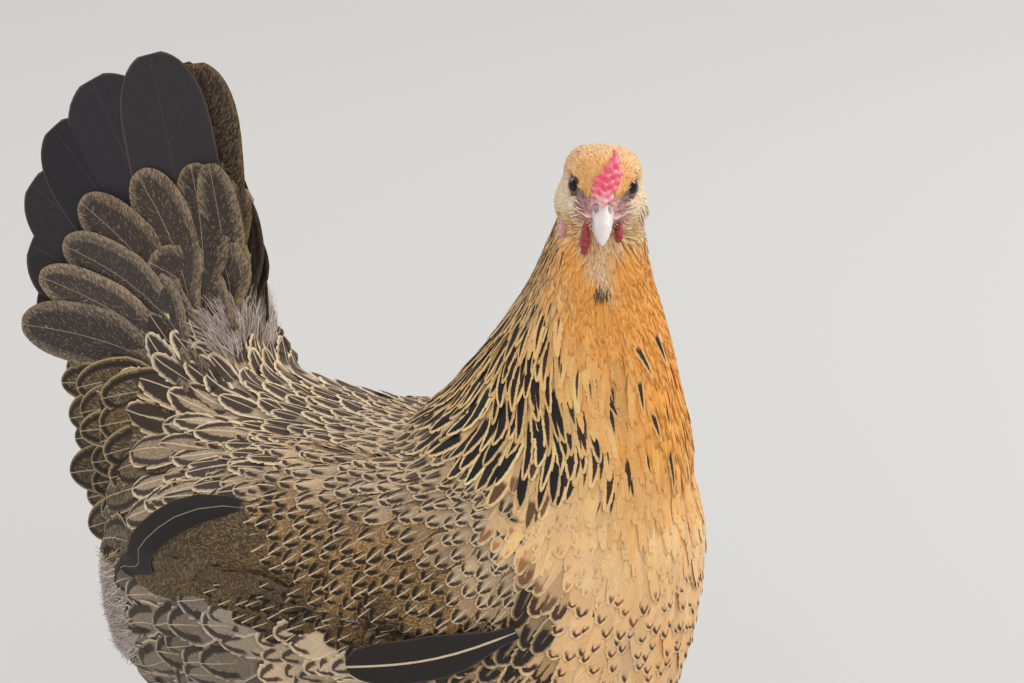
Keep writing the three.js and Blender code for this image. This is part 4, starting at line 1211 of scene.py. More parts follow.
@dataclass
class Coat:
    """One piece of coat: many feathers joined in one mesh of thin closed vanes."""

    name: str
    slot: str
    plumes: Plumes
    finish: Material
    across: int = 3  # points across the upper side
    camber: float = 0.22
    thick: float = 0.16  # mm, at the shaft
    roll: float = 5.0  # degrees of chance roll
    replaced: tuple[str, ...] = ()
    ragged: float = 0.16

    def build(self, rng: Chance) -> None:
        """Meshes the feathers, with their looks and their map."""
        p = self.plumes
        count, rings = p.spines.shape[:2]
        tangents = unit(np.gradient(p.spines, axis=1))
        up = unit(p.faces - (p.faces * tangents).sum(axis=2, keepdims=True) * tangents)
        side = np.cross(tangents, up)
        roll = np.radians(self.roll) * rng.standard_normal((count, 1, 1))
        side, up = side * np.cos(roll) + up * np.sin(roll), up * np.cos(roll) - side * np.sin(roll)
        widest = p.look("width") / 2 * (1 + 0.06 * rng.standard_normal(count))
        even = vane_width(p.rings, p.look("point")) * widest[:, None]
        loose = self.ragged + 0.3 * p.look("down")[:, None]
        inward = np.concatenate([[False], np.diff(p.rings) < FRAY_STEP])
        outward = np.concatenate([inward[1:], [False]])
        widths = even * (1 + loose * rng.random(even.shape) * (0.5 * outward - 1.0 * inward))
        top = np.linspace(-1, 1, self.across)
        around = np.concatenate([top, top[-2:0:-1]])
        below = np.arange(len(around)) >= self.across
        wide = widths[:, :, None]
        thick = self.thick * (1 - around**2) * np.where(below, -0.5, 0.5)
        level = wide * -(self.camber * around**2) + thick * np.minimum(1, wide / 1.2)
        sideways = side[:, :, None, :] * (wide * around)[..., None]
        places = (
            p.spines[:, :, None, :] + MM * (sideways + up[:, :, None, :] * level[..., None])
        ).reshape(-1, 3)
        quads = self.quads(count, rings, len(around))
        if self.signed_volume(places, quads[: len(quads) // count]) < 0:
            quads = quads[:, ::-1]
        mesh = bpy.data.meshes.new(self.name)
        mesh.from_pydata(places.tolist(), [], quads.tolist())
        mesh.polygons.foreach_set("use_smooth", np.ones(len(mesh.polygons), dtype=bool))
        self.sharpen(mesh, len(around))
        self.dress(mesh, rng, wide * around, even)
        self.map(mesh, around, below)
        mesh.update()
        piece = bpy.data.objects.new(self.name, mesh)
        bpy.context.scene.collection.objects.link(piece)
        mesh.materials.append(self.finish)
        book(piece, self.replaced)

    def quads(self, count: int, rings: int, around: int) -> Array:
        """The faces of all feathers: walls ring by ring, and a cap at each end."""
        here = np.arange(around)
        beside = (here + 1) % around
        wall = np.stack([here, beside, beside + around, here + around], axis=1)
        parts = [wall + ring * around for ring in range(rings - 1)]
        for ring, turn in ((0, -1), (rings - 1, 1)):
            for step in range(around // 2 - 1):
                corners = [(around - step) % around, step + 1, step + 2, around - step - 1]
                parts.append(np.array([corners[::turn]]) + ring * around)
        return (
            np.concatenate(parts)[None] + (np.arange(count) * rings * around)[:, None, None]
        ).reshape(-1, 4)

    def signed_volume(self, places: Array, quads: Array) -> float:
        """The volume inside some faces, negative where they face inwards."""
        centre = places[quads].mean(axis=(0, 1))
        a, b, c, d = (places[quads[:, i]] - centre for i in range(4))
        return float((np.cross(a, b) * c).sum() + (np.cross(a, c) * d).sum())

    def sharpen(self, mesh: bpy.types.Mesh, around: int) -> None:
        """Marks the vanes' two long edges sharp, so that upper and lower sides shade apart."""
        column = read(mesh.edges, "vertices", 2, int) % around
        rim = (column[:, 0] == column[:, 1]) & ((column[:, 0] == 0) | (column[:, 0] == self.across - 1))
        mesh.attributes.new("sharp_edge", "BOOLEAN", "EDGE").data.foreach_set("value", rim)

    def dress(self, mesh: bpy.types.Mesh, rng: Chance, across: Array, even: Array) -> None:
        """Stores what the vane finish reads.

        Args:
            mesh: the mesh.
            rng: the source of chance.
            across: each vertex's place across its vane, in mm.
            even: the half widths of the vanes before fraying, in mm.
        """
        p = self.plumes
        count, rings, around = across.shape
        along = np.broadcast_to((p.rings[None, :] * p.lengths[:, None])[:, :, None], across.shape)
        to_tip = (1 - p.rings[None, :]) * (p.lengths * (1 + p.look("point")))[:, None]
        inset = np.minimum(np.maximum(even[:, :, None] - np.abs(across), 0), to_tip[:, :, None])
        add_attribute(mesh, "span", np.stack([across, inset, along], axis=3).reshape(-1, 3))

        def spread(name: str, *columns: Array) -> None:
            """Stores some numbers of each feather on all of its vertices."""
            add_attribute(mesh, name, np.repeat(np.column_stack(columns), rings * around, axis=0))

        tone = np.clip(1 + p.look("vary") * rng.standard_normal(count), 0.5, 1.5)[:, None]
        x, y, z = p.plan().T
        cloud = np.sin(x * 0.11 + 1.3 * np.sin(z * 0.07)) * np.cos(z * 0.09 + 0.9 * np.sin(y * 0.1))
        warm = 1 + (0.04 * rng.standard_normal(count) + 0.07 * cloud)[:, None] * np.array((0.5, 0.0, -0.8))
        for name, share in (("ground", 1.0), ("mark", 0.5), ("edge", 0.5)):
            spread(name, np.clip(p.look(name) * (1 + (tone - 1) * share) * warm, 0, 0.94), np.ones(count))
        spread("marks", p.look("lace"), p.look("mark_from"), p.look("mark_deep"))
        spread("more", p.look("start") * p.lengths, p.look("shaft"), p.look("fleck"))
        add_attribute(mesh, "luck", np.repeat(rng.random(count), rings * around))

    def map(self, mesh: bpy.types.Mesh, around: Array, below: Array) -> None:
        """Gives each feather its own patch of the OFBake map, in the order of the roots round the body.

        Args:
            mesh: the mesh.
            around: where the points of a ring lie across the vane, from -1 to 1.
            below: which of them are on the lower side.
        """
        roots, rings = self.plumes.plan(), self.plumes.rings
        columns = max(1, math.ceil(math.sqrt(len(roots))))
        rows = math.ceil(len(roots) / columns)
        order = np.argsort(np.arctan2(*(roots[:, :2] - roots[:, :2].mean(axis=0)).T))
        cell = np.empty((len(roots), 2))
        for column in range(columns):
            group = order[column * rows : (column + 1) * rows]
            group = group[np.argsort(roots[group, 2])]
            cell[group] = np.column_stack([np.full(len(group), column), np.arange(len(group))])
        local = np.empty((len(rings), len(around), 2))
        local[..., 0] = 0.06 + 0.88 * (around + 1) / 2
        local[..., 1] = (0.04 + 0.92 * rings)[:, None] - 0.03 * below
        spots = ((cell[:, None, None, :] + local[None]) / (columns, rows)).reshape(-1, 2)
        layer = mesh.uv_layers.new(name="OFBake")
        layer.data.foreach_set("uv", spots[read(mesh.loops, "vertex_index", 1, int)].ravel())


@dataclass
class Plumage:
    """The whole coat of small feathers: body, wings and head, sorted into pieces."""

    ground: Ground
    skin: Skin
    vane: Material
    broad: float = 3.6  # mm, the width from which a feather's outline is frayed
    beard_top: Spot = (-13.4, -118.4, 374.0)
    beard_across: Spot = (0.63, -0.78, 0.0)
    beard_dark: Spot = (-16.9, -119.0, 360.5)

    def on_body(self) -> Array:
        """Which faces hold the body's feathers."""
        plan = self.ground.centres
        over_wing = (plan[:, 1] > 8) & (plan[:, 2] > 258 - 0.2 * (plan[:, 1] - 8))
        off_wing = on_wing(plan) < np.where(plan[:, 2] > 240, 4, -3)
        return (above_throat(plan) < 3) & (off_wing | over_wing | (plan[:, 1] > 88)) & (plan[:, 2] > 101)

    def on_wings(self) -> Array:
        """Which faces hold the wing coverts."""
        plan = self.ground.centres
        ahead = plan[:, 1] < 46 + 1.3 * np.maximum(plan[:, 2] - 244, 0)
        outer = np.abs(self.ground.face_normals[:, 0]) > 0.25
        return (on_wing(plan, 1.0) > np.where(plan[:, 2] < 230, -4, 0)) & ahead & outer

    def rooted(
        self, rng: Chance, chosen: Array, lie: Lie, look: Looks | None = None
    ) -> tuple[Array, Array, Array]:
        """Roots over part of the skin.

        Args:
            rng: the source of chance.
            chosen: which faces hold them.
            lie: the lie that gives them their looks.
            look: the one look of them all, instead.

        Returns:
            The roots in metres, the skin's normals there and a row of look numbers for each.
        """
        one = look.value.row() if look else None
        pitch = look.value.pitch if look else lie.looks_at(self.ground.centres[chosen])[:, COLUMNS["pitch"]]
        roots, normals = self.ground.scattered(rng, chosen, pitch)
        return roots, normals, np.tile(one, (len(roots), 1)) if look else lie.looks_at(to_plan(roots))

    def body(self, rng: Chance) -> tuple[Plumes, Plumes]:
        """The body's narrow feathers, and its broad ones."""
        chosen = self.on_body()
        centres = self.ground.centres[chosen]
        pitch = BODY_LIE.looks_at(centres)[:, COLUMNS["pitch"]] * np.where(in_hollow(centres), 0.55, 1)
        roots, normals = self.ground.scattered(rng, chosen, pitch)
        plan = to_plan(roots)
        looks = BODY_LIE.looks_at(plan + 4.5 * rng.standard_normal(roots.shape))
        looks[in_hollow(plan), COLUMNS["length"] : COLUMNS["pitch"]] *= 0.5
        self.beard(plan, looks)
        fine = looks[:, COLUMNS["width"]] < self.broad
        narrow = (roots[fine], normals[fine], looks[fine])
        wide = (roots[~fine], normals[~fine], looks[~fine])
        narrow_plumes = laid(self.ground, rng, narrow, BODY_LIE, FINE_RINGS, toss=5.0)
        return narrow_plumes, laid(self.ground, rng, wide, BODY_LIE, SMALL_RINGS)

    def beard(self, plan: Array, looks: Array) -> None:
        """Gives the throat its pale wedge, with a dark tuft in the middle.

        Args:
            plan: the roots' places.
            looks: their looks, changed in place.
        """
        down = self.beard_top[2] - plan[:, 2]
        aside = np.abs((plan - self.beard_top) @ self.beard_across)
        looks[
            (down > -6) & (down < 16) & (aside < 2.2 + 0.16 * down) & (plan[:, 1] < -100)
        ] = Looks.BEARD.value.row()
        looks[np.linalg.norm(plan - self.beard_dark, axis=1) < 3.0] = Looks.BEARD_DARK.value.row()

    def streaks(self, rng: Chance) -> Plumes:
        """The few dark feathers on the neck's front."""
        x, y, z = self.ground.centres.T
        chosen = (z > 300) & (z < 352) & (y < -114) & (np.abs(x + 12) < 17)
        rooted = self.rooted(rng, chosen, BODY_LIE, Looks.LONE_STREAK)
        return laid(self.ground, rng, rooted, BODY_LIE, SMALL_RINGS, toss=7.0, lean=(0.12, 0, 0))

    def face(self, rng: Chance) -> None:
        """Makes the bare cheeks' tiny feathers, the dark hairs between eye and bill, and the head's tufts."""
        plan = self.ground.centres
        out, ahead, z, eye, gape, _ = self.skin.face_places(plan)
        bareness, on_head = self.skin.bare(plan), above_throat(plan) > 0
        cheeks = on_head & (bareness >= 0.4) & ((z < -12.5) | ((out > 8.5) & (z < -6) & (gape > 2.5)))
        cheeks &= (eye > 5.4) & (ahead < 12)
        lores = on_head & (bareness > 0.4) & (ahead > 1) & (ahead < 11) & (z > -9) & (out > 4) & (eye > 4.9)
        for name, chosen, look, toss, thick in (
            ("bristles", cheeks, Looks.BRISTLE, 14.0, 0.1), ("face_hairs", lores, Looks.HAIR, 22.0, 0.08),
        ):
            rooted = self.rooted(rng, chosen, HEAD_LIE, look)
            plumes = laid(self.ground, rng, rooted, HEAD_LIE, TUFT_RINGS, toss)
            Coat(name, "plumage_gold", plumes, self.vane, thick=thick, roll=15).build(rng)
        rooted = self.rooted(rng, on_head & (bareness < 0.4), HEAD_LIE)
        round_eye = self.skin.face_places(to_plan(rooted[0]))[3]
        rooted[2][:, COLUMNS["length"]] *= 0.4 + 0.6 * ramp(round_eye, 5.0, 9.5)
        head = laid(self.ground, rng, rooted, HEAD_LIE, TUFT_RINGS, toss=9.0)
        self.halves(
            rng, "head_coat", "plumage_gold", head, plan_to_head(head.plan())[:, 0], thick=0.12, roll=12
        )

    def wisps(self, rng: Chance, name: str, middle: Spot, reach: float, way: Spot) -> None:
        """Makes loose down that stands out from one place.

        Args:
            rng: the source of chance.
            name: the piece's name.
            middle: the place's middle in the plan.
            reach: its radius in mm.
            way: the way the down points.
        """
        lie = Lie(((Looks.DOWN, ((0, 0, 0, *way),)),))
        rooted = self.rooted(
            rng, np.linalg.norm(self.ground.centres - middle, axis=1) < reach, lie, Looks.DOWN
        )
        plumes = laid(self.ground, rng, rooted, lie, TUFT_RINGS, 16.0, 0.25)
        Coat(name, "thigh_down", plumes, self.vane, thick=0.1, roll=20).build(rng)

    def halves(
        self, rng: Chance, name: str, slot: str, plumes: Plumes, across: Array, **settings: float
    ) -> None:
        """Makes one piece of feathers for each side.

        Args:
            rng: the source of chance.
            name: the pieces' name, less the side.
            slot: the name of their material slot, kept on each coat but not used.
            plumes: the feathers.
            across: tells each feather's side by its sign.
            settings: the coat's own settings.
        """
        for side, sign in SIDES.items():
            Coat(f"{name}_{side}", slot, plumes.part(across * sign > 0), self.vane, **settings).build(rng)

    def build(self, rng: Chance) -> None:
        """Makes all the pieces of small feathers."""
        for side, sign in SIDES.items():
            self.wisps(rng, f"tail_down_{side}", (10 * sign, 93, 301), 10, (0.25 * sign, 0.8, 1))
            self.wisps(rng, f"rear_down_{side}", (50 * sign, 128, 186), 26, (0.5 * sign, 1, -0.5))
        fine, body = self.body(rng)
        self.halves(rng, "throat_coat", "plumage_gold", fine, fine.plan()[:, 0], thick=0.12, roll=7)
        Coat("streak_coat", "plumage_gold", self.streaks(rng), self.vane).build(rng)
        x, y, z = body.plan().T
        left = np.ones(len(x), dtype=bool)
        for name, inside, slot in (
            ("neck", (y < 0) & ((body.plan() - (0, -75, 287)) @ (0, -0.33, 0.944) > -4), "plumage_gold"),
            ("breast", (y < -45) & (z < 300), "plumage_gold"),
            ("tail_covert", (z > 300 - 0.15 * (y - 80)) & (y > 40), "plumage_brown"),
            ("back", z > 217, "plumage_brown"), ("flank", left, "thigh_down"),
        ):
            part = body.part(left & inside)
            left = left & ~inside
            self.halves(rng, f"{name}_coat", slot, part, part.plan()[:, 0])
        wings = laid(
            self.ground, rng, self.rooted(rng, self.on_wings(), WING_LIE), WING_LIE, SMALL_RINGS, toss=3.0
        )
        self.halves(rng, "wing_coat", "plumage_brown", wings, wings.plan()[:, 0])
        self.face(rng)


@dataclass(frozen=True)
class Quill:
    """One large feather, set one by one: places in plan mm."""

    root: Array
    tip: Array
    face: Array  # the way its upper side looks
    width: float
    look: Looks
    bow: float = 0.0  # how far the middle bends to the feather's own side
    arch: float = 0.0  # how far the middle stands out


def quilled(quills: Sequence[Quill]) -> Plumes:
    """Large feathers as plumes."""
    spines, faces, lengths, looks = [], [], [], []
    swing = np.sin(np.pi * QUILL_RINGS)[:, None]
    for quill in quills:
        along = quill.tip - quill.root
        length = float(np.linalg.norm(along))
        face = unit(quill.face - along * (quill.face @ along) / length**2)
        aside = np.cross(along / length, face)
        bend = swing * (aside * quill.bow + face * quill.arch)
        spines.append(to_row(quill.root + along * QUILL_RINGS[:, None] + bend))
        faces.append(np.tile(face, (len(QUILL_RINGS), 1)))
        lengths.append(length)
        looks.append(replace(quill.look.value, width=quill.width).row())
    return Plumes(np.array(spines), np.array(faces), np.array(lengths), np.array(looks), QUILL_RINGS)


def evened(values: Array, rings: Array) -> Array:
    """Values along each feather, replaced by the straight line, nowhere negative, that follows them best.

    Args:
        values: the values, for each feather and ring.
        rings: where the rings stand along the feather, from 0 to 1.

    Returns:
        The evened values.
    """
    powers = np.vander(rings, 2)
    weighed = powers.T * np.gradient(rings)
    slope, start = np.linalg.solve(weighed @ powers, weighed @ values.T)[:, :, None]
    return np.maximum(start, 0) * (1 - rings) + np.maximum(start + slope, 0) * rings


def kept_out(plumes: Plumes, ground: Ground, rise: Array) -> None:
    """Lifts feathers clear of the skin where they would dip into it.

    Args:
        plumes: the feathers, changed in place.
        ground: the skin.
        rise: the least height over the skin, in mm, for each feather and ring.
    """
    places = plumes.spines.reshape(-1, 3)
    found, normals = ground.onto(places)
    height = ((places - found) * normals).sum(axis=1) / MM
    near = np.linalg.norm(places - found, axis=1) < 0.03
    lift = np.where(near, np.maximum(0, rise.reshape(-1) - height), 0).reshape(rise.shape)
    plumes.spines = plumes.spines + plumes.faces * evened(lift, plumes.rings)[:, :, None] * MM


@dataclass
class Tail:
    """The upright fan: main tail feathers, and large coverts over their roots."""

    root: Spot = (8, 112, 285)
    open_out: float = 15.0
    lean: float = 5.0
    step: float = 0.95  # between neighbours, outwards to the front
    fan: tuple[Spot, ...] = (  # angle back from upright, length, width
        (4.5, 139, 33), (12, 145, 49), (25, 141, 45), (37, 131, 43), (49, 119, 41), (61, 103, 39),
        (74, 90, 34),
    )
    covers: tuple[tuple[float, ...], ...] = (
        # in the fan's plane: back and up of the feather's root, back and up of its tip, width and bow
        (2, 4, 88, 16, 26, 4), (2, 10, 82, 35, 26, 4), (2, 20, 73, 54, 28, 5), (2, 24, 60, 73, 29, 5),
        (0, 30, 34, 88, 29, 5), (-4, 30, 9, 97, 26, 4), (-13, 34, -9, 97, 20, 2), (-2, 8, 66, 20, 26, 5),
        (-6, 20, 56, 36, 28, 6), (2, 18, 42, 40, 29, 5), (-14, 30, -3, 66, 22, 4), (-16, 21, 23, 47, 32, 5),
        (-10, 4, 52, 18, 28, 5), (-4, -4, 62, 2, 24, 5), (6, -72, 42, -86, 20, 1), (8, -60, 50, -73, 21, 1),
        (10, -50, 56, -61, 20, 1), (12, -40, 61, -49, 22, 1), (14, -30, 64, -37, 20, 2), (
            14, -20, 67, -26, 22, 3
        ),
        (14, -10, 69, -14, 21, 3), (12, -2, 66, -4, 22, 4), (-6, -66, 32, -79, 22, 1), (
            -4, -54, 38, -67, 21, 1
        ),
        (0, -44, 44, -55, 22, 1), (2, -34, 48, -43, 22, 1), (4, -24, 51, -32, 21, 2), (
            4, -14, 54, -20, 22, 3
        ),
        (2, -4, 54, -8, 22, 4), (-12, -48, 28, -60, 22, 1), (-10, -37, 32, -48, 22, 1), (
            -8, -27, 36, -37, 22, 2
        ),
        (-8, -16, 39, -25, 22, 2), (-8, -6, 40, -13, 22, 3),
    )
    lowest: int = 14  # the first of the covers that is laced like the back
    quill_base: float = 12.0  # how far from the root the main feathers start
    left_short: float = 0.95  # the left half stands a little lower, and is wider open
    left_open: float = 4.0
    left_dip: float = 0.84  # of its forward covers' tips

    def build(self, rng: Chance, vane: Material, ground: Ground) -> None:
        """Makes both halves of the tail."""
        for side, sign in SIDES.items():
            self.half(rng, vane, ground, side, sign)

    def half(self, rng: Chance, vane: Material, ground: Ground, side: str, sign: int) -> None:
        """Makes one half of the tail.

        Args:
            rng: the source of chance.
            vane: the feathers' finish.
            ground: the skin that the coverts stay clear of.
            side: the half's side.
            sign: that side's sign.
        """
        turn = turned(2, -sign * self.open_out) @ turned(1, -sign * self.lean)
        outward = turn @ (sign, 0, 0)
        root = np.array((sign * self.root[0], *self.root[1:]), float)
        left = sign > 0

        def at(back: float, up: float, out: float) -> Array:
            """A place in the fan's plane, moved outwards."""
            return root + turn @ (0, back, up) + outward * out

        main = []
        for index, (angle, length, width) in enumerate(self.fan):
            out = self.step * (len(self.fan) - index) + 0.9 if index else 0.4
            length *= self.left_short if left else 1.0
            look = Looks.RECTRIX if index else Looks.RECTRIX_EDGE
            tilt = math.radians(angle + self.left_open if left and index == 0 else angle)
            ends = (at(math.sin(tilt) * far, math.cos(tilt) * far, out) for far in (self.quill_base, length))
            main.append(Quill(*ends, outward, width, look, -sign * 4.0, 1.0))
        replaced = (f"tail_fan_{side}",)
        Coat(
            f"tail_{side}", "flight_black", quilled(main), vane, 5, 0.05, 0.5, 1.0, replaced, 0.02
        ).build(rng)
        coverts = []
        for index, (back, up, tip_back, tip_up, width, bow) in enumerate(self.covers):
            high = index < self.lowest
            out = 7.6 + 0.34 * index if high else 9.5
            shake = rng.uniform(-3.5, 3.5, 2)
            tip_up *= self.left_dip if left and tip_back < 0 < tip_up else 1.0
            tip = at(tip_back + shake[0], tip_up + shake[1], out)
            look = Looks.COVERT if high else Looks.CUSHION_LOW
            coverts.append(Quill(at(back, up, out - 6), tip, outward, width, look, -sign * bow, 2.0))
        plumes = quilled(coverts)
        rank = np.arange(len(coverts))[:, None]
        sunk = 0.3 + (5.0 + 0.12 * rank) * ramp(plumes.rings, 0.0, 0.45)
        kept_out(plumes, ground, np.where(rank < self.lowest, 4.2 + 2.0 * plumes.rings, sunk))
        Coat(f"tail_cover_{side}", "plumage_brown", plumes, vane, 5, 0.13, 0.4, 2.0, (), 0.03).build(rng)


@dataclass
class FlightFeathers:
    """The folded wings' secondaries, and the one black feather that droops below the right wing."""

    top: tuple[Spot, Spot] = ((85, 8, 257), (66, 104, 210))  # root and tip of the left side's topmost
    bottom: tuple[Spot, Spot] = ((90, -36, 222), (90, 48, 210))
    count: int = 9
    droop_root: Spot = (-66, -113, 220)
    droop_tip: Spot = (-89.5, -39, 196)
    droop_face: Spot = (-1, -0.2, -0.25)

    def build(self, rng: Chance, vane: Material, ground: Ground) -> None:
        """Makes the flight feathers of both sides."""
        rank = np.arange(self.count)
        order = 0.5 * (self.count - rank) + 0.9 * (rank == 0)
        for side, sign in SIDES.items():
            quills = []
            for index in rank:
                part = index / (self.count - 1)
                sag = math.sin(math.pi * part)
                ends = (np.array(self.top) * (1 - part) + np.array(self.bottom) * part) * (sign, 1, 1)
                look, width = (Looks.SECONDARY, 18) if index else (Looks.TERTIAL, 15)
                tip = ends[1] + (0, 10 * sag, -5 * sag)
                quills.append(
                    Quill(ends[0], tip, np.array((sign, 0.1, 0.15)), width, look, -sign * 6.0 * (1 - part))
                )
            plumes = quilled(quills)
            found, normals = ground.onto(plumes.spines.reshape(-1, 3))
            rise = (0.8 + 2.2 * plumes.rings[None, :] ** 1.5 + order[:, None]) * ramp(
                plumes.rings, -0.05, 0.35
            )
            plumes.spines = (found + normals * rise.reshape(-1, 1) * MM).reshape(plumes.spines.shape)
            plumes.faces = normals.reshape(plumes.spines.shape)
            Coat(f"secondaries_{side}", "plumage_brown", plumes, vane, 5, 0.10, 0.3, 2.0, (), 0.02).build(rng)
        root, tip, face = (np.array(spot) for spot in (self.droop_root, self.droop_tip, self.droop_face))
        droop = quilled([Quill(root, tip, face, 20.5, Looks.PRIMARY, -4.0, 1.0)])
        Coat("primary", "flight_black", droop, vane, 5, 0.12, 0.5, 0.0, ("primary_right",), 0.02).build(rng)


# ---------- head pieces ----------


@dataclass
class Face:
    """Bill, comb, wattles, earlobes and eyes."""

    comb_path: tuple[tuple[float, ...], ...] = (  # aside, ahead, z and size of each lump
        (-0.2, 14.8, -1.0, 1.7), (-2.0, 13.6, 0.0, 1.9), (1.6, 13.4, 0.2, 1.8), (-0.2, 12.6, 1.4, 2.4),
        (-3.2, 11.6, 1.6, 2.1), (2.0, 11.8, 1.8, 1.9), (-3.4, 10.2, 3.4, 2.2), (0.2, 10.8, 3.4, 2.4),
        (-2.2, 9.4, 5.0, 2.1), (3.4, 9.4, 4.6, 2.4), (5.0, 8.6, 5.4, 1.5), (0.8, 9.2, 5.4, 2.3),
        (-2.8, 8.4, 6.6, 1.8), (1.6, 7.6, 7.2, 2.4), (4.8, 6.8, 7.6, 2.2), (-0.4, 6.8, 8.2, 1.9),
        (6.2, 5.6, 8.4, 1.3), (2.4, 5.6, 9.2, 2.4), (5.0, 4.2, 10.0, 1.8), (1.6, 3.6, 10.6, 1.7),
        (3.6, 2.8, 11.2, 2.2), (4.8, 1.0, 12.0, 1.7), (3.0, 0.4, 12.4, 1.7), (4.2, -1.8, 13.2, 1.7),
        (4.0, -4.4, 13.8, 1.4),
    )
    nostril_ahead: float = 15.6
    nostril_z: float = -3.7
    cornea: float = 0.35  # mm the clear front bulges
    gaze: dict[str, Spot] = field(
        default_factory=lambda: {"right": (-0.62, -0.76, 0.2), "left": (0.47, -0.82, 0.32)}
    )
    sunk: dict[str, float] = field(default_factory=lambda: {"earlobe_left": 1.5, "earlobe_right": 0.7})  # mm

    def build(self) -> None:
        """Makes all the face's pieces."""
        self.bill()
        self.comb()
        flesh = FleshFinish("wattle", (0.34, 0.035, 0.04), (0.52, 0.10, 0.11)).material()
        lobe = FleshFinish("earlobe", (0.60, 0.26, 0.30), (0.80, 0.50, 0.54), 0.55).material()
        for side in SIDES:
            self.flap(f"wattle_{side}", "wattle", flesh, 0.35)
            self.flap(f"earlobe_{side}", "earlobe", lobe, 0.45)
            self.eye(side)

    def bill(self) -> None:
        """Makes both halves of the bill, smoothed from their solids, with nostrils."""
        horn = HornFinish("bill", (0.72, 0.58, 0.59), (0.86, 0.79, 0.77)).material()
        for node in ("beak_upper", "beak_lower"):
            piece = copied(f"bill_{node[5:]}", [node])
            remesh(piece, 0.34, 9)
            local = local_to_head(piece)
            out, ahead, z = np.abs(local[:, 0]), -local[:, 1], local[:, 2]
            tone = ramp(ahead, 12, 24) * 0.85
            if node == "beak_upper":
                beyond, over = ahead - self.nostril_ahead, z - self.nostril_z
                hole = hump((beyond + 0.6 * over, 0, 2.1), (over, 0, 1.3))
                flap = hump((beyond, 0.4, 2.2), (over, 1.6, 0.9))
                push(piece, (0.5 * flap - 1.15 * hole) * ramp(out, 1.1, 2.0))
                side = hump((ahead, 11.5, 4.2), (z, -3.6, 3.6)) * ramp(out, 0.9, 2.4)
                # below zero the tone paints the hollow grey: painted shade in the nostril hollows (hole), and
                # the grey skin beside them (side)
                tone = ramp(ahead, 13, 24) - 1.1 * np.maximum(hole, side) * ramp(out, 1.0, 2.4)
            add_attribute(piece.data, "paleness", tone)
            settled(piece, horn, [node])

    def comb(self) -> None:
        """Makes the comb from soft lumps run together, with fine folds, painted paler on their ridges as
        painted light and deeper in their valleys as painted shade.
        """
        made = [self.ball((aside, -ahead, z), size, 16, 10) for aside, ahead, z, size in self.comb_path]
        deselect()
        for lump in made:
            lump.select_set(True)
        bpy.context.view_layer.objects.active = made[0]
        bpy.ops.object.join()
        piece = bpy.context.view_layer.objects.active
        piece.name = "comb_folds"
        bpy.ops.object.transform_apply(location=True, rotation=True, scale=True)
        remesh(piece, 0.33, 9)
        x, _, z = local_to_head(piece).T
        fold = np.sin(z * 2.2 + 1.6 * np.sin(x * 0.8 + 1.0)) + 0.5 * np.sin(x * 2.1 + z * 1.3)
        push(piece, 0.42 * fold)
        # paleness: paler towards the bottom as the comb's own colour, plus painted light on the folds' ridges
        # and painted shade in their valleys
        add_attribute(piece.data, "paleness", (1 - ramp(z, -1, 4.5)) * 0.7 + 0.2 * fold + 0.06)
        finish = FleshFinish("comb", (0.95, 0.125, 0.21), (1.0, 0.62, 0.66), 0.4)
        settled(piece, finish.material(), ["comb"])

    def ball(self, middle: Spot, radius: float, segments: int, rings: int) -> Piece:
        """A ball at a place of the head's frame.

        Args:
            middle: its middle.
            radius: its radius in mm.
            segments: its faces round the axis.
            rings: its rings of faces.

        Returns:
            The ball.
        """
        deselect()
        place = to_row(head_to_plan(np.array(middle)))
        bpy.ops.mesh.primitive_uv_sphere_add(
            segments=segments, ring_count=rings, radius=radius * MM, location=place
        )
        return bpy.context.object

    def flap(self, node: str, slot: str, finish: Material, folds: float) -> None:
        """Makes one wattle or earlobe: a soft, finely wrinkled flap, painted paler on the wrinkles' ridges as
        painted light and deeper in their grooves as painted shade.

        Args:
            node: the solid it stands for.
            slot: not used.
            finish: its material.
            folds: depth of the wrinkles in mm.
        """
        piece = copied(f"{node}_skin", [node])
        remesh(piece, 0.4, 8)
        x, y, z = local_to_head(piece).T
        wrinkle = np.sin(z * 2.0 + 1.5 * np.sin(y * 0.9)) * np.cos(y * 1.6)
        push(piece, folds * wrinkle - self.sunk.get(node, -0.1))
        rim = ramp(np.abs(x - x.mean()), 0.8, 2.2)
        # paleness: painted light on the wrinkles' ridges and painted shade in their grooves, and paler
        # towards the rim
        add_attribute(piece.data, "paleness", 0.15 + 0.3 * wrinkle + 0.6 * rim)
        settled(piece, finish, [node])

    def eye(self, side: str) -> None:
        """Makes one eye: a ball with a bulging clear front, its axis a little forward and out."""
        middle = (SIDES[side] * EYE_OUT, -EYE_AHEAD, EYE_Z)
        piece = self.ball(middle, EYE_BALL, 48, 32)
        piece.name = f"eyeball_{side}"
        bpy.ops.object.transform_apply(location=True, rotation=True, scale=True)
        local = local_to_head(piece) - middle
        axis = unit(np.array(self.gaze[side]))
        out = local @ axis
        off = np.linalg.norm(local - out[:, None] * axis, axis=1)
        bulge = self.cornea * (1 - ramp(off, 0.0, 3.4)) * (out > 0)
        move_vertices(piece, places_of(piece) + (HEAD_TURN @ axis) * bulge[:, None] * MM)
        add_attribute(piece.data, "off_axis", np.where(out > 0, off, 9.0))
        # painted shade on the iris: dark at its top under the brow, bright below
        add_attribute(piece.data, "iris_painted_light", 0.15 + 0.85 * ramp(-local[:, 2], -0.5, 2.2))
        settled(piece, EyeFinish(f"eye_{side}").material(), [f"eye_{side}"])


# ---------- legs ----------


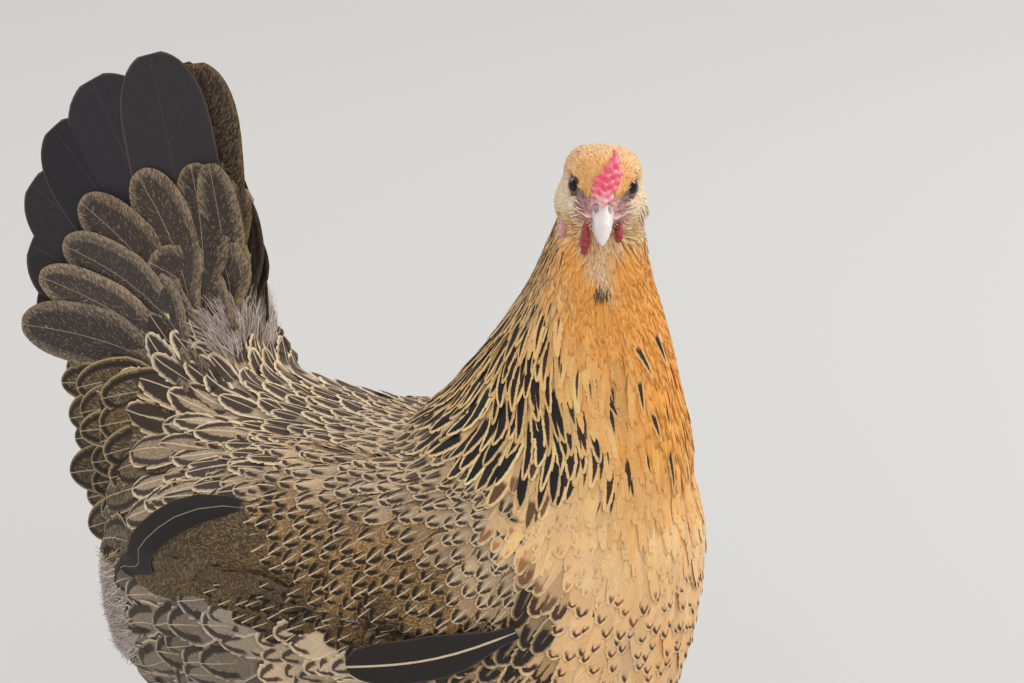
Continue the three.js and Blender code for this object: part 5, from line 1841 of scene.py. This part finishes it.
@dataclass
class Leg:
    """One bare leg: scaled shank and toes in one skin, and four claws."""

    side: str
    toes: tuple[str, ...] = ("inner", "middle", "outer", "hind")
    hip_out: float = 45.5
    foot_y: float = -9.0
    band: float = 4.3  # mm between the shank's scutes
    toe_band: float = 3.1
    relief: float = 0.42  # mm, the height of the scales
    base: Colour = (0.235, 0.235, 0.19)
    crease: Colour = (0.075, 0.07, 0.06)

    def build(self) -> None:
        """Makes the leg and its claws."""
        nodes = [f"shank_{self.side}", *(f"toe_{toe}_{self.side}" for toe in self.toes)]
        piece = copied(f"leg_{self.side}", nodes)
        remesh(piece, 0.95, 6, 0.3)
        apply_modifier(piece, "SUBSURF", levels=1, subdivision_type="SIMPLE")
        plan = to_plan(places_of(piece))
        z = plan[:, 2]
        scale = self.scales(plan)
        push(piece, (scale - 0.75) * self.relief * ramp(z, 0.3, 1.6))
        places = places_of(piece)
        places[:, 2] = np.maximum(places[:, 2], 0)
        move_vertices(piece, places)
        base, crease = np.array(self.base), np.array(self.crease)
        colours = crease + (base - crease) * ramp(scale, 0.2, 0.8)[:, None]
        add_attribute(piece.data, "paint", with_alpha(colours))
        settled(piece, HideFinish("leg", 0.5, 1400.0, 0.2).material(), nodes)
        self.claws()

    def from_foot(self, plan: Array) -> Array:
        """How far aside and back plan points lie from the foot's middle."""
        return plan[:, :2] - (SIDES[self.side] * self.hip_out, self.foot_y)

    def scales(self, plan: Array) -> Array:
        """The scales' height at plan points, from 0 in the grooves to 1.

        Args:
            plan: the leg's plan points.

        Returns:
            The heights.
        """
        z = plan[:, 2]
        foot = self.from_foot(plan)
        turn = np.arctan2(foot[:, 0], np.interp(z, [7, 30, 99], [-9, -4, 22]) - plan[:, 1])
        front = ramp(-np.abs(turn), -1.5, -0.9)
        rows = np.abs(np.sin(np.pi * (z / self.band + 0.16 * np.sin(turn * 2)))) ** 0.5
        small = np.abs(np.sin(np.pi * (z / (self.band * 0.55) + turn * 1.6)) * np.sin(turn * 5)) ** 0.5
        shank, upper = ramp(z, 14, 22), ramp(z, 2.0, 4.5)
        toe = np.abs(np.sin(np.pi * np.hypot(*foot.T) / self.toe_band)) ** 0.5 * upper + 1 - upper
        return (front * rows + (1 - front) * small) * shank + toe * (1 - shank)

    def claws(self) -> None:
        """Makes the four claws."""
        horn = HornFinish("claw", (0.16, 0.13, 0.11), (0.42, 0.36, 0.29)).material()
        for toe in self.toes:
            node = f"claw_{toe}_{self.side}"
            claw = copied(f"{node}_horn", [node])
            apply_modifier(claw, "SUBSURF", levels=2)
            off = np.hypot(*self.from_foot(to_plan(places_of(claw))).T)
            add_attribute(claw.data, "paleness", ramp(off, off.min(), off.max()))
            settled(claw, horn, [node])


# ---------- stage ----------


@dataclass
class Stage:
    """A wide pale floor, soft lamps and the camera."""

    floor_colour: Colour = (0.62, 0.62, 0.615)
    sky_seen: Colour = (0.86, 0.86, 0.86)
    sky_light: Colour = (1.0, 0.98, 0.95)
    sky_strength: float = 0.50
    middle: Spot = (0, 0, 0.25)  # what the lamps shine at, in metres
    azimuth: float = -51.0
    elevation: float = 14.0
    distance: float = 2.3
    lens: float = 194.0
    aim: Spot = (-51.6, -99.2, 340.5)  # in the plan

    def build(self) -> None:
        """Sets the whole stage."""
        self.floor()
        self.sky()
        self.lamp("key", (3.3, -1.2, 3.4), 1.9, 142.0, (1.0, 0.97, 0.93))
        self.lamp("fill", (-3.4, -3.2, 2.2), 2.6, 74.0, (1.0, 0.985, 0.96))
        self.lamp("rim", (-0.6, 3.4, 2.8), 2.0, 30.0, (1.0, 1.0, 1.0))
        self.camera()

    def floor(self) -> None:
        """Lays the floor."""
        deselect()
        bpy.ops.mesh.primitive_circle_add(vertices=96, radius=40.0, fill_type="NGON")
        floor = bpy.context.object
        floor.name = "floor"
        floor.data.materials.append(Graph("floor").finish(Base_Color=self.floor_colour, Roughness=0.9))

    def sky(self) -> None:
        """Lights the air softly, and shows the camera a pale wall."""
        world = bpy.data.worlds.new("sky")
        bpy.context.scene.world = world
        world.use_nodes = True
        tree = world.node_tree
        light = tree.nodes["Background"]
        light.inputs["Color"].default_value = (*self.sky_light, 1)
        light.inputs["Strength"].default_value = self.sky_strength
        seen = tree.nodes.new("ShaderNodeBackground")
        seen.inputs["Color"].default_value = (*self.sky_seen, 1)
        path = tree.nodes.new("ShaderNodeLightPath")
        mix = tree.nodes.new("ShaderNodeMixShader")
        for place, output in enumerate((path.outputs["Is Camera Ray"], light.outputs[0], seen.outputs[0])):
            tree.links.new(output, mix.inputs[place])
        tree.links.new(mix.outputs[0], tree.nodes["World Output"].inputs["Surface"])

    def lamp(self, name: str, place: Spot, size: float, power: float, colour: Colour) -> None:
        """Hangs one soft lamp, turned to the hen's middle.

        Args:
            name: the lamp's name.
            place: where it hangs, in metres.
            size: its side in metres.
            power: its power in watts.
            colour: its tint.
        """
        deselect()
        bpy.ops.object.light_add(type="AREA", location=place)
        lamp = bpy.context.object
        lamp.name = name
        lamp.data.size, lamp.data.energy, lamp.data.color = size, power, colour
        lamp.rotation_euler = (Vector(self.middle) - Vector(place)).to_track_quat("-Z", "Y").to_euler()

    def camera(self) -> None:
        """Sets the camera up at its angle."""
        deselect()
        turn, rise = math.radians(self.azimuth), math.radians(self.elevation)
        back = Vector((math.sin(turn) * math.cos(rise), -math.cos(turn) * math.cos(rise), math.sin(rise)))
        bpy.ops.object.camera_add(location=Vector(to_row(np.array(self.aim))) + back * self.distance)
        camera = bpy.context.object
        camera.name = "camera"
        camera.rotation_euler = back.to_track_quat("Z", "Y").to_euler()
        camera.data.lens = self.lens
        camera.data.sensor_width = 36.0
        camera.data.dof.use_dof = False
        bpy.context.scene.camera = camera


def main() -> None:
    """Builds the hen's pieces in order, then the stage."""
    logging.basicConfig(level=logging.INFO, format="%(name)s: %(message)s")
    rng = np.random.default_rng(SEED)
    skin_maker = Skin()
    ground = Ground(skin_maker.build())
    vane = VaneFinish("vane").material()
    Plumage(ground, skin_maker, vane).build(rng)
    Tail().build(rng, vane, ground)
    FlightFeathers().build(rng, vane, ground)
    Face().build()
    for side in SIDES:
        Leg(side).build()
    Stage().build()
    bpy.context.scene.view_settings.view_transform = "Standard"
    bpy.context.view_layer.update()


if __name__ == "__main__":
    main()
